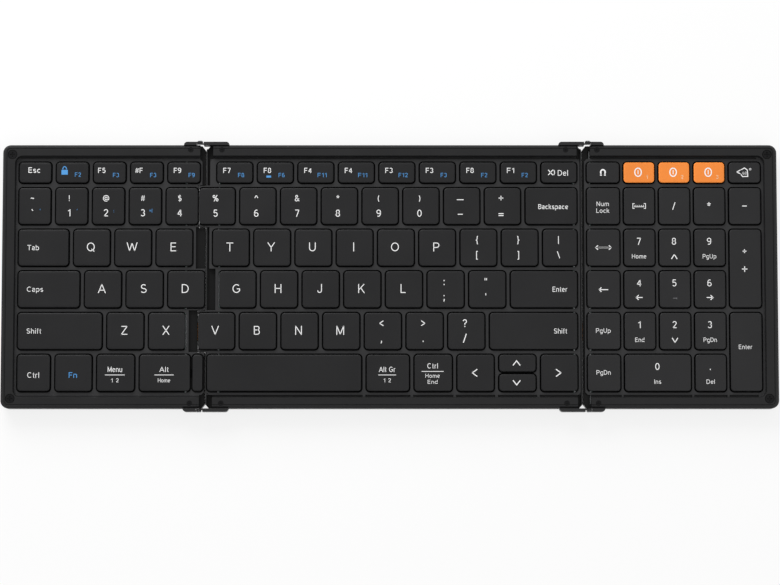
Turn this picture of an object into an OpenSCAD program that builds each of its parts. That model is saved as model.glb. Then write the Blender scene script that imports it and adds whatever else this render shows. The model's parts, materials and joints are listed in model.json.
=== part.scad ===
// Folding keyboard with a number pad: three panels on pinned side hinges, 102 keys.
// The panels lie flat along X. +Y points away from the typist and +Z is up.

/* [Panels] */
// Length of the left panel, from its outer end to the left seam
left_w = 92.8; // [90:0.1:96]
// Length of the middle panel, from seam to seam
middle_w = 172.2; // [168:0.1:178]
// Length of the right panel, from the right seam to its outer end
right_w = 89; // [87:0.1:92]
// Plain border in front of and behind the keys
row_margin = 7.9; // [7.7:0.05:9]
// Plain border between the outer end of a side panel and its keys
end_margin = 7.5; // [7.4:0.05:9]
// Radius of the four outer corners in plan
corner_r = 3.6; // [3:0.1:3.8]
// Thickness of the moulded outer walls
wall = 2; // [1.6:0.1:2.2]
// Bevel along the top edge of the rim
rim_bevel = 1; // [0.6:0.1:1.3]
// Width of the rim along the front and the back
rim_w = 4.9; // [4.6:0.05:5]
// Width of the rim across the outer ends
end_rim_w = 5.6; // [5.5:0.05:5.9]
// Lean of the rims' inner sides, from their foot to their top edge
rim_lean = 0.4; // [0.2:0.1:0.6]
// Width of the slope inside the left panel's front and back rims
rim_slope = 1.2; // [1:0.1:1.3]
// Width of the groove inside the other front and back rims
groove_w = 1.3; // [0.8:0.1:1.4]
// Corner radius of the field that the rims enclose
field_r = 3.5; // [3:0.1:3.8]
// Width of the fine line that runs round the top of the rims
line_w = 0.3; // [0.2:0.05:0.4]
// Distance of that line from the front and back edges
line_in = 1.45; // [1.3:0.05:1.6]
// Distance of that line from the outer ends
end_line_in = 1.75; // [1.6:0.05:1.9]
// Corner cut off the deck beside each end of a seam
deck_cut = 1.2; // [0.8:0.1:1.2]

/* [Heights] */
// Height of the rubber feet below the covers
foot_h = 0.8; // [0.6:0.1:1.5]
// Thickness of the floor of a bottom cover
floor_t = 1; // [0.8:0.1:1.4]
// Height of a bottom cover's side wall, floor included
cover_h = 2; // [1.8:0.1:2.4]
// Room under the key plates for the battery and the board
inner_h = 2.4; // [2.2:0.1:3.2]
// Thickness of a steel key plate
plate_t = 0.4; // [0.3:0.05:0.6]
// Thickness of a circuit membrane
membrane_t = 0.4; // [0.2:0.05:0.5]
// Height of the free space between a membrane and the underside of the deck
under_deck_h = 1.2; // [0.9:0.1:1.6]
// Thickness of the deck that holds the key wells
deck_t = 1.4; // [1.2:0.1:1.8]
// Height of the rim above the deck
rim_h = 2.4; // [2.2:0.1:2.8]
// Height of the low ledges along the seams above the membranes
ledge_h = 0.6; // [0.4:0.1:0.8]

/* [Keys] */
// Depth of a key in the five full rows
key_h = 16.6; // [16:0.05:17]
// Depth of a key in the back row
fn_key_h = 9.3; // [8.5:0.1:10]
// Gap between two keycaps of the left and middle panels
key_gap = 2.5; // [2.3:0.05:2.7]
// Gap between two columns of the number pad
pad_gap = 2.15; // [2:0.05:2.4]
// Gap between two keycaps that share one well
shared_gap = 1.2; // [0.9:0.05:1.4]
// Gap between a keycap and the wall of its well
well_clear = 0.6; // [0.5:0.02:0.66]
// Corner radius of a keycap
cap_r = 1.5; // [1.2:0.1:1.8]
// Height of a keycap
cap_h = 2; // [1.8:0.1:2.3]
// Thickness of the top of a keycap
cap_top_t = 0.9; // [0.7:0.1:1.1]
// Thickness of the skirt of a keycap
cap_wall = 0.9; // [0.6:0.1:1.1]
// Bevel round the top of a keycap
cap_bevel = 0.4; // [0.2:0.05:0.6]
// Height by which a keycap stands above the deck
cap_rise = 1.3; // [1.1:0.1:1.6]
// Width of a letter key in the row of Tab
upper_w = 16.35; // [16.1:0.05:16.5]
// Width of a letter key in the two rows below it
letter_w = 16.5; // [16.2:0.05:16.6]
// Width of a number key in the middle panel
digit_w = 16.15; // [15.8:0.05:16.3]
// Width of the left control key
control_w = 14.8; // [14:0.1:16]
// Width of the function shift key
fn_shift_w = 16.5; // [16:0.1:18]
// Width of the menu key
menu_w = 16.9; // [16.5:0.1:18.5]
// Width of the narrow end key beside the space bar
space_end_w = 4.5; // [4.2:0.1:5]
// Width of the right alternate key
alt_gr_w = 19.3; // [18.5:0.1:20]
// Width of the right control key
right_control_w = 17; // [16.6:0.1:18]
// Width of an arrow key
arrow_w = 16.55; // [16:0.05:17]
// Width of the first column of the number pad
nav_w = 14.75; // [14.5:0.05:15]
// Width of the next three columns of the number pad
pad_w = 13.9; // [13.6:0.1:14.1]

/* [Seams] */
// Gap between two panels along a seam
seam_gap = 0.35; // [0.3:0.05:0.5]
// Border between a keycap that crosses the seam and the edge under it
edge_lap = 0.15; // [0.1:0.05:0.2]
// Place of the last keycap's edge in each row of the left panel, from the seam
left_end = [-2.7, -3.55, -6, -0.4, -9.05, -1.05];
// Place of the first keycap's edge in each row of the middle panel, from the seam
middle_start = [5.25, -2.85, 3.45, 6.45, -3.15, 1.05];
// Web beyond the last well in each row of the left panel
left_web = [0.5, 0, 1, 0, 0.95, 0];
// Web before the first well in each row of the middle panel
middle_web = [2.7, 0, 1.15, 1.25, 0, 0];
// Border between the last keycaps of the middle panel and the right seam
middle_end = 2.55; // [2.5:0.05:3]
// Web beside the right seam in the middle panel
middle_end_web = 0.9; // [0.6:0.05:1]
// Border between the right seam and the number pad's first keycaps
pad_start = 2.2; // [2:0.05:2.4]
// Web beside the right seam in the right panel
pad_web = 0.6; // [0.4:0.05:0.7]
// Width of the lip that closes a seam from below
lip_w = 0.6; // [0.4:0.05:0.7]
// Height of that lip above the ledges
lip_h = 1.4; // [1:0.1:1.6]
// Distance from the left seam at which the left panel's rims stop
left_rim_stop = 2.5; // [2.2:0.05:2.8]
// Distance from the left seam at which the middle panel's rims start
middle_rim_start = 3.4; // [3:0.05:3.6]
// Distance from the right seam at which the middle panel's rims stop
middle_rim_stop = 2.5; // [2.2:0.05:2.8]
// Distance from the right seam at which the right panel's rims start
right_rim_start = 3.6; // [3:0.05:3.8]
// Width of the corner cut off each panel at the ends of a seam
notch_w = 1.6; // [1:0.1:1.8]
// Depth of these corner cuts
notch_d = 2; // [1.5:0.1:2.5]

/* [Hinges] */
// Gap between the outer ends of the two side panels when both are folded
fold_gap = 0.7; // [0.5:0.1:1.5]
// Height of the hinge axes above the rims
axis_rise = 0.15; // [0.1:0.05:0.3]
// Thickness of a hinge leaf
leaf_t = 1.5; // [1.4:0.1:1.8]
// Height of a hinge leaf
leaf_h = 6.4; // [5.8:0.1:6.6]
// Length of a side panel's leaf from the axis
side_leaf_l = 7.4; // [7:0.1:8.5]
// Length of a middle panel's leaf from the axis
middle_leaf_l = 13.4; // [12.5:0.1:15]
// Thickness of the ear that each leaf ends in
ear_t = 0.6; // [0.5:0.05:0.65]
// Radius of an ear
ear_r = 1.3; // [1.1:0.1:1.5]
// Radius of a hinge pin
pin_r = 0.6; // [0.5:0.05:0.8]
// Radial clearance between a hinge pin and an ear
pin_clear = 0.05; // [0.02:0.01:0.08]
// Radius of the head of a hinge pin
pin_head_r = 1; // [0.9:0.05:1.1]
// Thickness of the head of a hinge pin
pin_head_t = 0.3; // [0.2:0.05:0.5]
// Depth to which a leaf's tab reaches into the frame
tab_d = 3.1; // [2.9:0.1:3.2]
// Thickness of that tab
tab_t = 1; // [0.8:0.1:1.2]

/* [Screws] */
// Distance of a corner screw from the two outer edges
screw_in = 4.4; // [4.3:0.05:4.5]
// Radius of the head of a corner screw
screw_head_r = 1.95; // [1.7:0.05:2]
// Thickness of the head of a corner screw
screw_head_t = 0.8; // [0.6:0.1:1]
// Radius of the shank of a corner screw
screw_r = 0.9; // [0.7:0.05:1]
// Radius of the post round a corner screw
post_r = 1.9; // [1.7:0.1:2]
// Radius of the head of a leaf screw
leaf_screw_head_r = 1.1; // [0.9:0.05:1.2]
// Thickness of the head of a leaf screw
leaf_screw_head_t = 0.5; // [0.4:0.05:0.7]
// Radius of the shank of a leaf screw
leaf_screw_r = 0.55; // [0.45:0.05:0.6]

/* [Inside] */
// Radius of a rubber dome at its foot
dome_r = 3; // [2.6:0.1:3.2]
// Thickness of the rubber sheet and the walls of its domes
rubber_t = 0.3; // [0.2:0.05:0.4]
// Length of the battery
battery_l = 62; // [50:1:66]
// Depth of the battery
battery_d = 36; // [30:1:40]
// Thickness of the battery
battery_t = 2.2; // [1.8:0.1:2.3]
// Distance of the battery from the wall along the left seam
battery_in = 9; // [7:1:20]
// Length of the main board
board_l = 46; // [40:1:46]
// Part of that length on the left of the charging socket
board_left = 25; // [20:1:28]
// Depth of the main board
board_d = 30; // [24:1:36]
// Thickness of the main board
board_t = 1; // [0.8:0.1:1.2]
// Distance of the charging socket from the right seam
socket_in = 30.1; // [28:0.1:50]
// Width of the charging socket's shell
socket_w = 8.94; // [8.9:0.01:9]
// Height of the charging socket's shell
socket_h = 3.16; // [3.1:0.01:3.2]
// Depth of the charging socket's shell
socket_d = 6.5; // [5.5:0.1:6.6]
// Thickness of the charging socket's shell
socket_t = 0.3; // [0.25:0.05:0.35]
// Width of the ribbon cable that crosses each seam
ribbon_w = 8; // [6:0.5:9]
// Thickness of that ribbon cable
ribbon_t = 0.2; // [0.15:0.05:0.3]

/* [Feet] */
// Length of a rubber foot
foot_l = 20; // [14:1:26]
// Depth of a rubber foot
foot_d = 6; // [5:0.5:8]
// Depth of the recess that a foot is glued into
foot_seat = 0.4; // [0.3:0.1:0.6]
// Distance of a foot from the outer edges
foot_in = 5; // [4.5:0.5:8]
// Further distance of the middle panel's feet from the seams
foot_shift = 8; // [4:1:16]

/* [Hidden] */
$fn = 48;

// Colours, as the photograph shows them
frame_grey = "#2e2e2f";
cap_grey = "#343435";
pad_cap_grey = "#3a3a3b";
cap_orange = "#f58f45";
cover_grey = "#252526";
steel = "#9a9c9f";
dark_steel = "#3b3c3e";
film_green = "#5f7f76";
rubber_grey = "#b9bdb8";
foot_black = "#1a1a1a";
board_green = "#1f5a3a";
foil_silver = "#c3c6c9";
ribbon_amber = "#b5762a";

// Small distance by which a cut runs past what it cuts
over = 1;
// Distance by which the outer form of a panel runs past a seam before it is cut there
past_seam = 9;

// Levels from the table up
floor_z = foot_h + floor_t;
split_z = foot_h + cover_h;
plate_z = floor_z + inner_h;
membrane_z = plate_z + plate_t;
well_z = membrane_z + membrane_t;
ledge_z = well_z + ledge_h;
lip_z = ledge_z + lip_h;
under_deck_z = well_z + under_deck_h;
deck_z = under_deck_z + deck_t;
rim_z = deck_z + rim_h;
axis_z = rim_z + axis_rise;
cap_top_z = deck_z + cap_rise;
cap_bottom_z = cap_top_z - cap_h;
cap_under_z = cap_top_z - cap_top_t;
trench_z = well_z - 0.4;
groove_z = deck_z - 0.9;
line_d = 0.3;
seat = 0.2;
cover_bevel = 0.6;
rib_t = 1.2;

// Plan of the whole keyboard, with its centre at X 0
total_w = left_w + middle_w + right_w;
left_x = -total_w / 2;
left_seam = left_x + left_w;
right_seam = left_seam + middle_w;
right_x = total_w / 2;
keys_depth = fn_key_h + 5 * (key_h + key_gap);
panel_d = keys_depth + 2 * row_margin;
half_d = panel_d / 2;

// The axes stand outside the seams, so that both side panels fit side by side when folded
axis_out = (left_w + right_w + fold_gap - middle_w) / 4;
left_axis = left_seam - axis_out;
right_axis = right_seam + axis_out;

function total(v, n, i = 0) = i >= n ? 0 : v[i] + total(v, n, i + 1);
function copies(w, n) = [for (i = [1:n]) w];
function slice(v, first, last) = [for (i = [first:last]) v[i]];
function row_back(r) = keys_depth / 2 - (r == 0 ? 0 : fn_key_h + key_gap + (r - 1) * (key_h + key_gap));
function row_depth(r) = r == 0 ? fn_key_h : key_h;
function row_front(r) = row_back(r) - row_depth(r);
function equal_w(length, n) = (length - (n - 1) * key_gap) / n;
function rest_w(length, others) = length - total(others, len(others)) - len(others) * key_gap;

// One row of keys, each as [left edge, front edge, width, depth]
function key_row(x, r, widths, gap = key_gap) = [
    for (i = [0:len(widths) - 1])
        [x + total(widths, i) + i * gap, row_front(r), widths[i], row_depth(r)]
];

// Rows of the left panel: the widest key of a row takes what the others leave
left_keys_x = left_x + end_margin;
left_len = [for (e = left_end) left_seam + e - left_keys_x];
left_modifiers = [control_w, fn_shift_w, menu_w];
alt_len = left_len[5] - space_end_w - shared_gap;
left_rows = [
    key_row(left_keys_x, 0, copies(equal_w(left_len[0], 5), 5)),
    key_row(left_keys_x, 1, copies(equal_w(left_len[1], 5), 5)),
    key_row(left_keys_x, 2, concat([rest_w(left_len[2], copies(upper_w, 3))], copies(upper_w, 3))),
    key_row(left_keys_x, 3, concat([rest_w(left_len[3], copies(letter_w, 3))], copies(letter_w, 3))),
    key_row(left_keys_x, 4, concat([rest_w(left_len[4], copies(letter_w, 2))], copies(letter_w, 2))),
    key_row(left_keys_x, 5, concat(left_modifiers, [rest_w(alt_len, left_modifiers)]))
];
space_end = [left_keys_x + left_len[5] - space_end_w, row_front(5), space_end_w, key_h];

// Rows of the middle panel
middle_keys_end = right_seam - middle_end;
middle_x = [for (s = middle_start) left_seam + s];
middle_len = [for (x = middle_x) middle_keys_end - x];
middle_modifiers = [alt_gr_w, right_control_w, arrow_w, arrow_w, arrow_w];
middle_rows = [
    key_row(middle_x[0], 0, copies(equal_w(middle_len[0], 9), 9)),
    key_row(middle_x[1], 1, concat(copies(digit_w, 8), [rest_w(middle_len[1], copies(digit_w, 8))])),
    key_row(middle_x[2], 2, concat(copies(upper_w, 8), [rest_w(middle_len[2], copies(upper_w, 8))])),
    key_row(middle_x[3], 3, concat(copies(letter_w, 7), [rest_w(middle_len[3], copies(letter_w, 7))])),
    key_row(middle_x[4], 4, concat(copies(letter_w, 7), [rest_w(middle_len[4], copies(letter_w, 7))])),
    key_row(middle_x[5], 5, concat([rest_w(middle_len[5], middle_modifiers)], middle_modifiers))
];
half_arrow_h = (key_h - shared_gap) / 2;
function front_row(keys) = [for (k = keys) if (k[1] < row_front(5) + 0.1) k];
up_down = middle_rows[5][4];
arrows = [
    middle_rows[5][3],
    [up_down[0], up_down[1] + half_arrow_h + shared_gap, arrow_w, half_arrow_h],
    [up_down[0], up_down[1], arrow_w, half_arrow_h],
    middle_rows[5][5]
];

// The number pad: five columns on the rows of the other panels
pad_x = right_seam + pad_start;
pad_len = right_x - end_margin - pad_x;
pad_widths = [nav_w, pad_w, pad_w, pad_w, pad_len - nav_w - 3 * pad_w - 4 * pad_gap];
pad_rows = [for (r = [0:5]) key_row(pad_x, r, pad_widths, pad_gap)];
pad_tall = [
    for (r = [3, 5])
        [pad_rows[r][4][0], row_front(r), pad_widths[4], row_back(r - 1) - row_front(r)]
];
pad_zero = [pad_rows[5][1][0], row_front(5), 2 * pad_w + pad_gap, key_h];

left_keys = concat(left_rows[0], left_rows[1], left_rows[2], left_rows[3], left_rows[4], left_rows[5],
                   [space_end]);
middle_keys = concat(middle_rows[0], middle_rows[1], middle_rows[2], middle_rows[3], middle_rows[4],
                     slice(middle_rows[5], 0, 2), arrows);
pad_digits = concat(slice(pad_rows[2], 1, 3), slice(pad_rows[3], 1, 3), slice(pad_rows[4], 1, 3),
                    [pad_rows[5][3]]);
pad_navigation = [for (r = [1:5]) pad_rows[r][0]];
pad_operators = slice(pad_rows[1], 1, 4);
right_keys = concat(pad_rows[0], pad_navigation, pad_operators, pad_digits, pad_tall, [pad_zero]);

// The left seam steps out under each key that crosses it. side is -1 for the left panel, 1 for the middle
function seam_shift(r) = middle_start[r] < 0 ? middle_start[r] - edge_lap - seam_gap / 2 : 0;
function step_points(r, side) = seam_shift(r) == 0 ? [] : [
    [left_seam + side * seam_gap / 2, row_back(r) + key_gap / 2 - side * seam_gap / 2],
    [left_seam + seam_shift(r) + side * seam_gap / 2, row_back(r) + key_gap / 2 - side * seam_gap / 2],
    [left_seam + seam_shift(r) + side * seam_gap / 2, row_front(r) - key_gap / 2 + side * seam_gap / 2],
    [left_seam + side * seam_gap / 2, row_front(r) - key_gap / 2 + side * seam_gap / 2]
];
function notch_points(x, side, end) = end > 0
    ? [[x + side * notch_w, half_d + over], [x + side * notch_w, half_d], [x, half_d - notch_d]]
    : [[x, notch_d - half_d], [x + side * notch_w, -half_d], [x + side * notch_w, -half_d - over]];
function left_seam_points(side) = concat(
    notch_points(left_seam + side * seam_gap / 2, side, 1),
    [for (r = [0:5]) each step_points(r, side)],
    notch_points(left_seam + side * seam_gap / 2, side, -1)
);
function reversed(v) = [for (i = [len(v) - 1:-1:0]) v[i]];
function right_seam_points(side) = reversed(concat(
    notch_points(right_seam + side * seam_gap / 2, side, 1),
    notch_points(right_seam + side * seam_gap / 2, side, -1)
));

// Edges of the deck along the seams, row by row
function left_deck_edge(r) = left_seam
    + min(seam_shift(r) - seam_gap / 2, left_end[r] + well_clear + left_web[r]);
lip_reach = seam_gap / 2 + lip_w;
function middle_deck_start(r) = middle_start[r] - well_clear - middle_web[r];
function middle_deck_edge(r) = left_seam + (seam_shift(r) < 0
    ? seam_shift(r) + seam_gap / 2
    : max(lip_reach, middle_deck_start(r)));
middle_end_edge = right_seam - middle_end + well_clear + middle_end_web;
pad_edge = right_seam + pad_start - well_clear - pad_web;
function zone_back(r) = r == 0 ? half_d + over : row_back(r) + key_gap / 2;
function zone_front(r) = r == 5 ? -half_d - over : row_front(r) - key_gap / 2;

// Hollow of each panel under its deck
seam_wall = 0.8;
left_hollow = [left_x + wall, left_deck_edge(4) - seam_wall];
middle_hollow = [middle_deck_edge(3) + seam_wall, middle_end_edge - wall];
right_hollow = [pad_edge + wall, right_x - wall];
hollow_y = half_d - wall;

// Field inside the rims, and how far the deck reaches towards the front and the back beside a seam
field_y = half_d - rim_w;
deck_y = field_y - groove_w;

// Screws and the leaves that the smaller ones hold
corner_screws_l = [for (s = [-1, 1]) [left_x + screw_in, s * (half_d - screw_in)]];
corner_screws_r = [for (s = [-1, 1]) [right_x - screw_in, s * (half_d - screw_in)]];
leaf_screw_in = tab_d - 0.8;
side_tab = [2.4, side_leaf_l - 1.3];
middle_tab = [middle_leaf_l - 5.4, middle_leaf_l - 1.3];
knuckle_clear = ear_r + 0.3;
leaf_top = -axis_rise - 0.1;
tab_top = -axis_rise - 1.55;
ear_lift = 0.2;
leaf_notch = 1.2;

socket_x = right_seam - socket_in;
socket_z = floor_z + board_t + socket_h / 2 + 0.05;
socket_y = half_d - 0.3;
tongue_in = 0.8;
tongue_w = 6.6;
tongue_t = 0.7;
board_x = [socket_x - board_left, socket_x - board_left + board_l];
battery_x = middle_hollow[0] + battery_in + battery_l / 2;
ribbon_z = split_z + 0.9;
ribbon_y = (row_back(4) + row_front(4)) / 2;
ribbon_room = 0.3;
ribbon_tail = 6;

// Rounded block whose sides follow a profile of [inset, height] points, from the bottom up
module shaped_block(x, y, r, profile) {
    last = len(profile) - 1;
    translate([x[0] + r, 0, 0])
        rotate([90, 0, 90])
            linear_extrude(x[1] - x[0] - 2 * r)
                polygon(concat([for (p = profile) [y[1] - p[0], p[1]]],
                               [for (i = [last:-1:0]) [y[0] + profile[i][0], profile[i][1]]]));
    translate([0, y[1] - r, 0])
        rotate([90, 0, 0])
            linear_extrude(y[1] - y[0] - 2 * r)
                polygon(concat([for (p = profile) [x[1] - p[0], p[1]]],
                               [for (i = [last:-1:0]) [x[0] + profile[i][0], profile[i][1]]]));
    for (cx = [x[0] + r, x[1] - r], cy = [y[0] + r, y[1] - r])
        translate([cx, cy, 0])
            rotate_extrude()
                polygon(concat([[0, profile[0][1]]], [for (p = profile) [r - p[0], p[1]]],
                               [[0, profile[last][1]]]));
}

module rounded_rect(x, y, w, h, r) {
    translate([x + r, y]) square([w - 2 * r, h]);
    translate([x, y + r]) square([w, h - 2 * r]);
    for (cx = [x + r, x + w - r], cy = [y + r, y + h - r])
        translate([cx, cy]) circle(r);
}

module box(x, y, z) {
    translate([x[0], y[0], z[0]]) cube([x[1] - x[0], y[1] - y[0], z[1] - z[0]]);
}

// Plan of each panel along its seams, and of its deck
module left_plan() {
    ends = [for (s = [1, -1]) [left_x - over, s * (half_d + over)]];
    polygon(concat([ends[0]], left_seam_points(-1), [ends[1]]));
}

module middle_plan() {
    polygon(concat(left_seam_points(1), right_seam_points(-1)));
}

module right_plan() {
    ends = [for (s = [-1, 1]) [right_x + over, s * (half_d + over)]];
    polygon(concat([ends[0]], right_seam_points(1), [ends[1]]));
}

module left_deck_plan() {
    edges = [for (r = [0:5], y = [zone_back(r), zone_front(r)]) [left_deck_edge(r), y]];
    intersection() {
        polygon(concat([[left_x - over, zone_back(0)]], edges, [[left_x - over, zone_front(5)]]));
        left_plan();
    }
}

module middle_deck_plan() {
    edges = [for (r = [0:5], y = [zone_back(r), zone_front(r)]) [middle_deck_edge(r), y]];
    intersection() {
        polygon(concat([[middle_end_edge, zone_back(0)]], edges, [[middle_end_edge, zone_front(5)]]));
        middle_plan();
    }
}

module right_deck_plan() {
    translate([pad_edge, zone_front(5)])
        square([right_x + over - pad_edge, zone_back(0) - zone_front(5)]);
}

// Plan of the low corners beside the ends of a seam, where the rims stop short of it.
// x gives the places where the rims stop, back_x and front_x those where the deck stops
module seam_corners(x, back_x, front_x) {
    for (s = [1, -1]) {
        d = s > 0 ? back_x : front_x;
        polygon([
            [x[0], s * (half_d + over)], [x[0], s * deck_y],
            [d[0] - deck_cut, s * deck_y], [d[0], s * (deck_y - deck_cut)],
            [d[1], s * (deck_y - deck_cut)], [d[1] + deck_cut, s * deck_y],
            [x[1], s * deck_y], [x[1], s * (half_d + over)]
        ]);
    }
}

module left_seam_corners() {
    seam_corners([left_seam - left_rim_stop, left_seam + middle_rim_start],
                 [left_deck_edge(0), middle_deck_edge(0)], [left_deck_edge(5), middle_deck_edge(5)]);
}

module right_seam_corners() {
    deck = [middle_end_edge, pad_edge];
    seam_corners([right_seam - middle_rim_stop, right_seam + right_rim_start], deck, deck);
}

module wells(keys) {
    $fn = 36;
    translate([0, 0, well_z])
        linear_extrude(rim_z)
            for (k = keys)
                rounded_rect(k[0] - well_clear, k[1] - well_clear, k[2] + 2 * well_clear,
                             k[3] + 2 * well_clear, cap_r + well_clear);
}

// Post round a corner screw, which grows out of the corner of the walls
module post(p, room) {
    r = post_r + room;
    low = [for (c = p) c < 0 ? c - screw_in : c - r];
    rounded_rect(low[0], low[1], screw_in + r, screw_in + r, r);
}

// Hollow between two heights, with the screw posts left standing
module hollow(x, z, posts = [], inset = 0, room = 0) {
    difference() {
        box([x[0] + inset, x[1] - inset], [-hollow_y + inset, hollow_y - inset], z);
        for (p = posts)
            translate([0, 0, z[0] - over]) linear_extrude(z[1] - z[0] + 2 * over) post(p, room);
    }
}

// Outer form of a frame: deck, ledges and rims, before the wells and the hollow are cut.
// x is the reach of the panel, field_x that of the field inside its rims, rim_x that of its long rims
module frame_form(x, field_x, rim_x) {
    difference() {
        intersection() {
            shaped_block(x, [-half_d, half_d], corner_r,
                         [[0, split_z], [0, rim_z - rim_bevel], [rim_bevel, rim_z]]);
            union() {
                children();
                both_ends() box(rim_x, [field_y - rim_lean - over, half_d + over], [split_z, rim_z + over]);
            }
        }
        shaped_block(field_x, [-field_y, field_y], field_r,
                     [[rim_lean, deck_z], [0, rim_z], [0, rim_z + over]]);
        translate([0, 0, rim_z - line_d])
            linear_extrude(line_d + over)
                difference() {
                    rim_line(x, 0);
                    rim_line(x, line_w);
                }
    }
}

module both_ends() {
    for (s = [0, 1]) mirror([0, s, 0]) children();
}

module rim_line(x, inset) {
    side = end_line_in + inset;
    front = line_in + inset;
    size = [x[1] - x[0] - 2 * side, 2 * (half_d - front)];
    rounded_rect(x[0] + side, front - half_d, size[0], size[1], corner_r - side);
}

// Groove between the deck and the rims: unbroken at the back, one pocket per key at the front
module rim_groove(x, keys) {
    foot_of_rim = field_y - rim_lean;
    z = [groove_z, deck_z + over];
    box(x, [deck_y, foot_of_rim], z);
    for (k = keys)
        box([max(x[0], k[0] - well_clear), min(x[1], k[0] + k[2] + well_clear)],
            [-foot_of_rim, -deck_y], z);
}

module screw_holes(places) {
    for (p = places)
        translate([p[0], p[1], 0]) {
            translate([0, 0, rim_z - screw_head_t - 0.1])
                cylinder(r = screw_head_r + 0.2, h = screw_head_t + over);
            cylinder(r = screw_r + pin_clear, h = rim_z);
        }
}

// Both ends of a hinge axis, with X towards the middle panel, Y out of the frame and Z from the axis
module at_left_hinges() {
    both_ends() translate([left_axis, half_d, axis_z]) children();
}

module at_right_hinges() {
    both_ends() translate([right_axis, half_d, axis_z]) mirror([1, 0, 0]) children();
}

// Slot in the frame for a leaf's tab, and the screw hole through it
module leaf_cut(tab, side) {
    room = 0.1;
    mirror([side < 0 ? 1 : 0, 0, 0]) {
        box([tab[0] - room, tab[1] + room], [-tab_d - room, over],
            [tab_top - tab_t - room, tab_top + room]);
        translate([(tab[0] + tab[1]) / 2, -leaf_screw_in, 0]) {
            translate([0, 0, -axis_rise - leaf_screw_head_t - 0.1])
                cylinder(r = leaf_screw_head_r + 0.1, h = leaf_screw_head_t + over);
            translate([0, 0, under_deck_z - axis_z + 0.3])
                cylinder(r = leaf_screw_r + pin_clear, h = axis_z - under_deck_z);
        }
    }
}

module leaf_screw(tab, side) {
    head_z = -axis_rise - leaf_screw_head_t - 0.1;
    low_z = under_deck_z - axis_z + 0.4;
    mirror([side < 0 ? 1 : 0, 0, 0])
        translate([(tab[0] + tab[1]) / 2, -leaf_screw_in, 0])
            difference() {
                union() {
                    translate([0, 0, head_z]) cylinder(r = leaf_screw_head_r, h = leaf_screw_head_t);
                    translate([0, 0, low_z]) cylinder(r = leaf_screw_r, h = head_z - low_z + 0.1);
                }
                translate([0, 0, head_z + 0.2]) screw_cross(leaf_screw_head_r * 0.6, 0.25);
            }
}

module screw_cross(reach, w) {
    box([-reach, reach], [-w / 2, w / 2], [0, over]);
    box([-w / 2, w / 2], [-reach, reach], [0, over]);
}

module corner_screw(p) {
    head_z = rim_z - screw_head_t - 0.1;
    translate([p[0], p[1], 0])
        difference() {
            union() {
                translate([0, 0, head_z]) cylinder(r = screw_head_r, h = screw_head_t);
                translate([0, 0, floor_z + 0.2]) cylinder(r = screw_r, h = head_z - floor_z);
            }
            translate([0, 0, head_z + screw_head_t / 2]) screw_cross(screw_head_r * 0.6, 0.5);
        }
}

// Wedge that makes the slope inside the left panel's front and back rims
module rim_slopes(x) {
    both_ends()
        translate([x[0], 0, 0])
            rotate([90, 0, 90])
                linear_extrude(x[1] - x[0])
                    polygon([[field_y - rim_slope, deck_z], [field_y - rim_slope, deck_z - seat],
                             [field_y + seat, deck_z - seat], [field_y + seat, rim_z - seat],
                             [field_y, rim_z]]);
}

module left_frame() {
    past = left_seam + past_seam;
    rims = [left_x - over, left_seam - left_rim_stop];
    color(frame_grey)
        difference() {
            union() {
                frame_form([left_x, past], [left_x + end_rim_w, past], rims) {
                    translate([0, 0, split_z]) linear_extrude(ledge_z - split_z) left_plan();
                    translate([0, 0, split_z])
                        linear_extrude(deck_z - split_z)
                            difference() {
                                left_deck_plan();
                                left_seam_corners();
                            }
                    box([left_x - over, left_x + end_margin - well_clear], [-half_d, half_d],
                        [split_z, rim_z + over]);
                }
                rim_slopes([left_x + end_rim_w - seat, left_seam - left_rim_stop]);
            }
            hollow(left_hollow, [split_z - over, under_deck_z], corner_screws_l);
            wells(left_keys);
            screw_holes(corner_screws_l);
            at_left_hinges() leaf_cut(side_tab, -1);
            ribbon_slot([left_hollow[1] - over, left_seam]);
        }
}

module middle_frame() {
    reach = [left_seam - past_seam, right_seam + past_seam];
    lip_x = [left_seam + lip_reach, right_seam - lip_reach];
    color(frame_grey)
        difference() {
            frame_form(reach, reach, [left_seam + middle_rim_start, right_seam - middle_rim_stop]) {
                translate([0, 0, split_z]) linear_extrude(lip_z - split_z) middle_plan();
                translate([0, 0, split_z])
                    linear_extrude(deck_z - split_z)
                        difference() {
                            middle_deck_plan();
                            left_seam_corners();
                            right_seam_corners();
                        }
            }
            hollow(middle_hollow, [split_z - over, under_deck_z]);
            wells(middle_keys);
            for (r = [0:5])
                if (seam_shift(r) == 0 && middle_deck_start(r) > lip_reach)
                    box([lip_x[0], middle_deck_edge(r)], [zone_front(r), zone_back(r)], [trench_z, deck_z]);
            box([middle_end_edge, lip_x[1]], [-half_d - over, half_d + over], [trench_z, deck_z]);
            both_ends() {
                box([lip_x[0], left_seam + middle_rim_start], [deck_y, half_d + over], [trench_z, deck_z]);
                box([right_seam - middle_rim_stop, lip_x[1]], [deck_y, half_d + over], [trench_z, deck_z]);
            }
            rim_groove([left_seam + middle_rim_start, right_seam - middle_rim_stop],
                       front_row(middle_keys));
            at_left_hinges() leaf_cut(middle_tab, 1);
            at_right_hinges() leaf_cut(middle_tab, 1);
            ribbon_slot([left_seam - past_seam, middle_hollow[0] + over]);
            ribbon_slot([middle_hollow[1] - over, right_seam]);
            socket_cut();
        }
}

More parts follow.
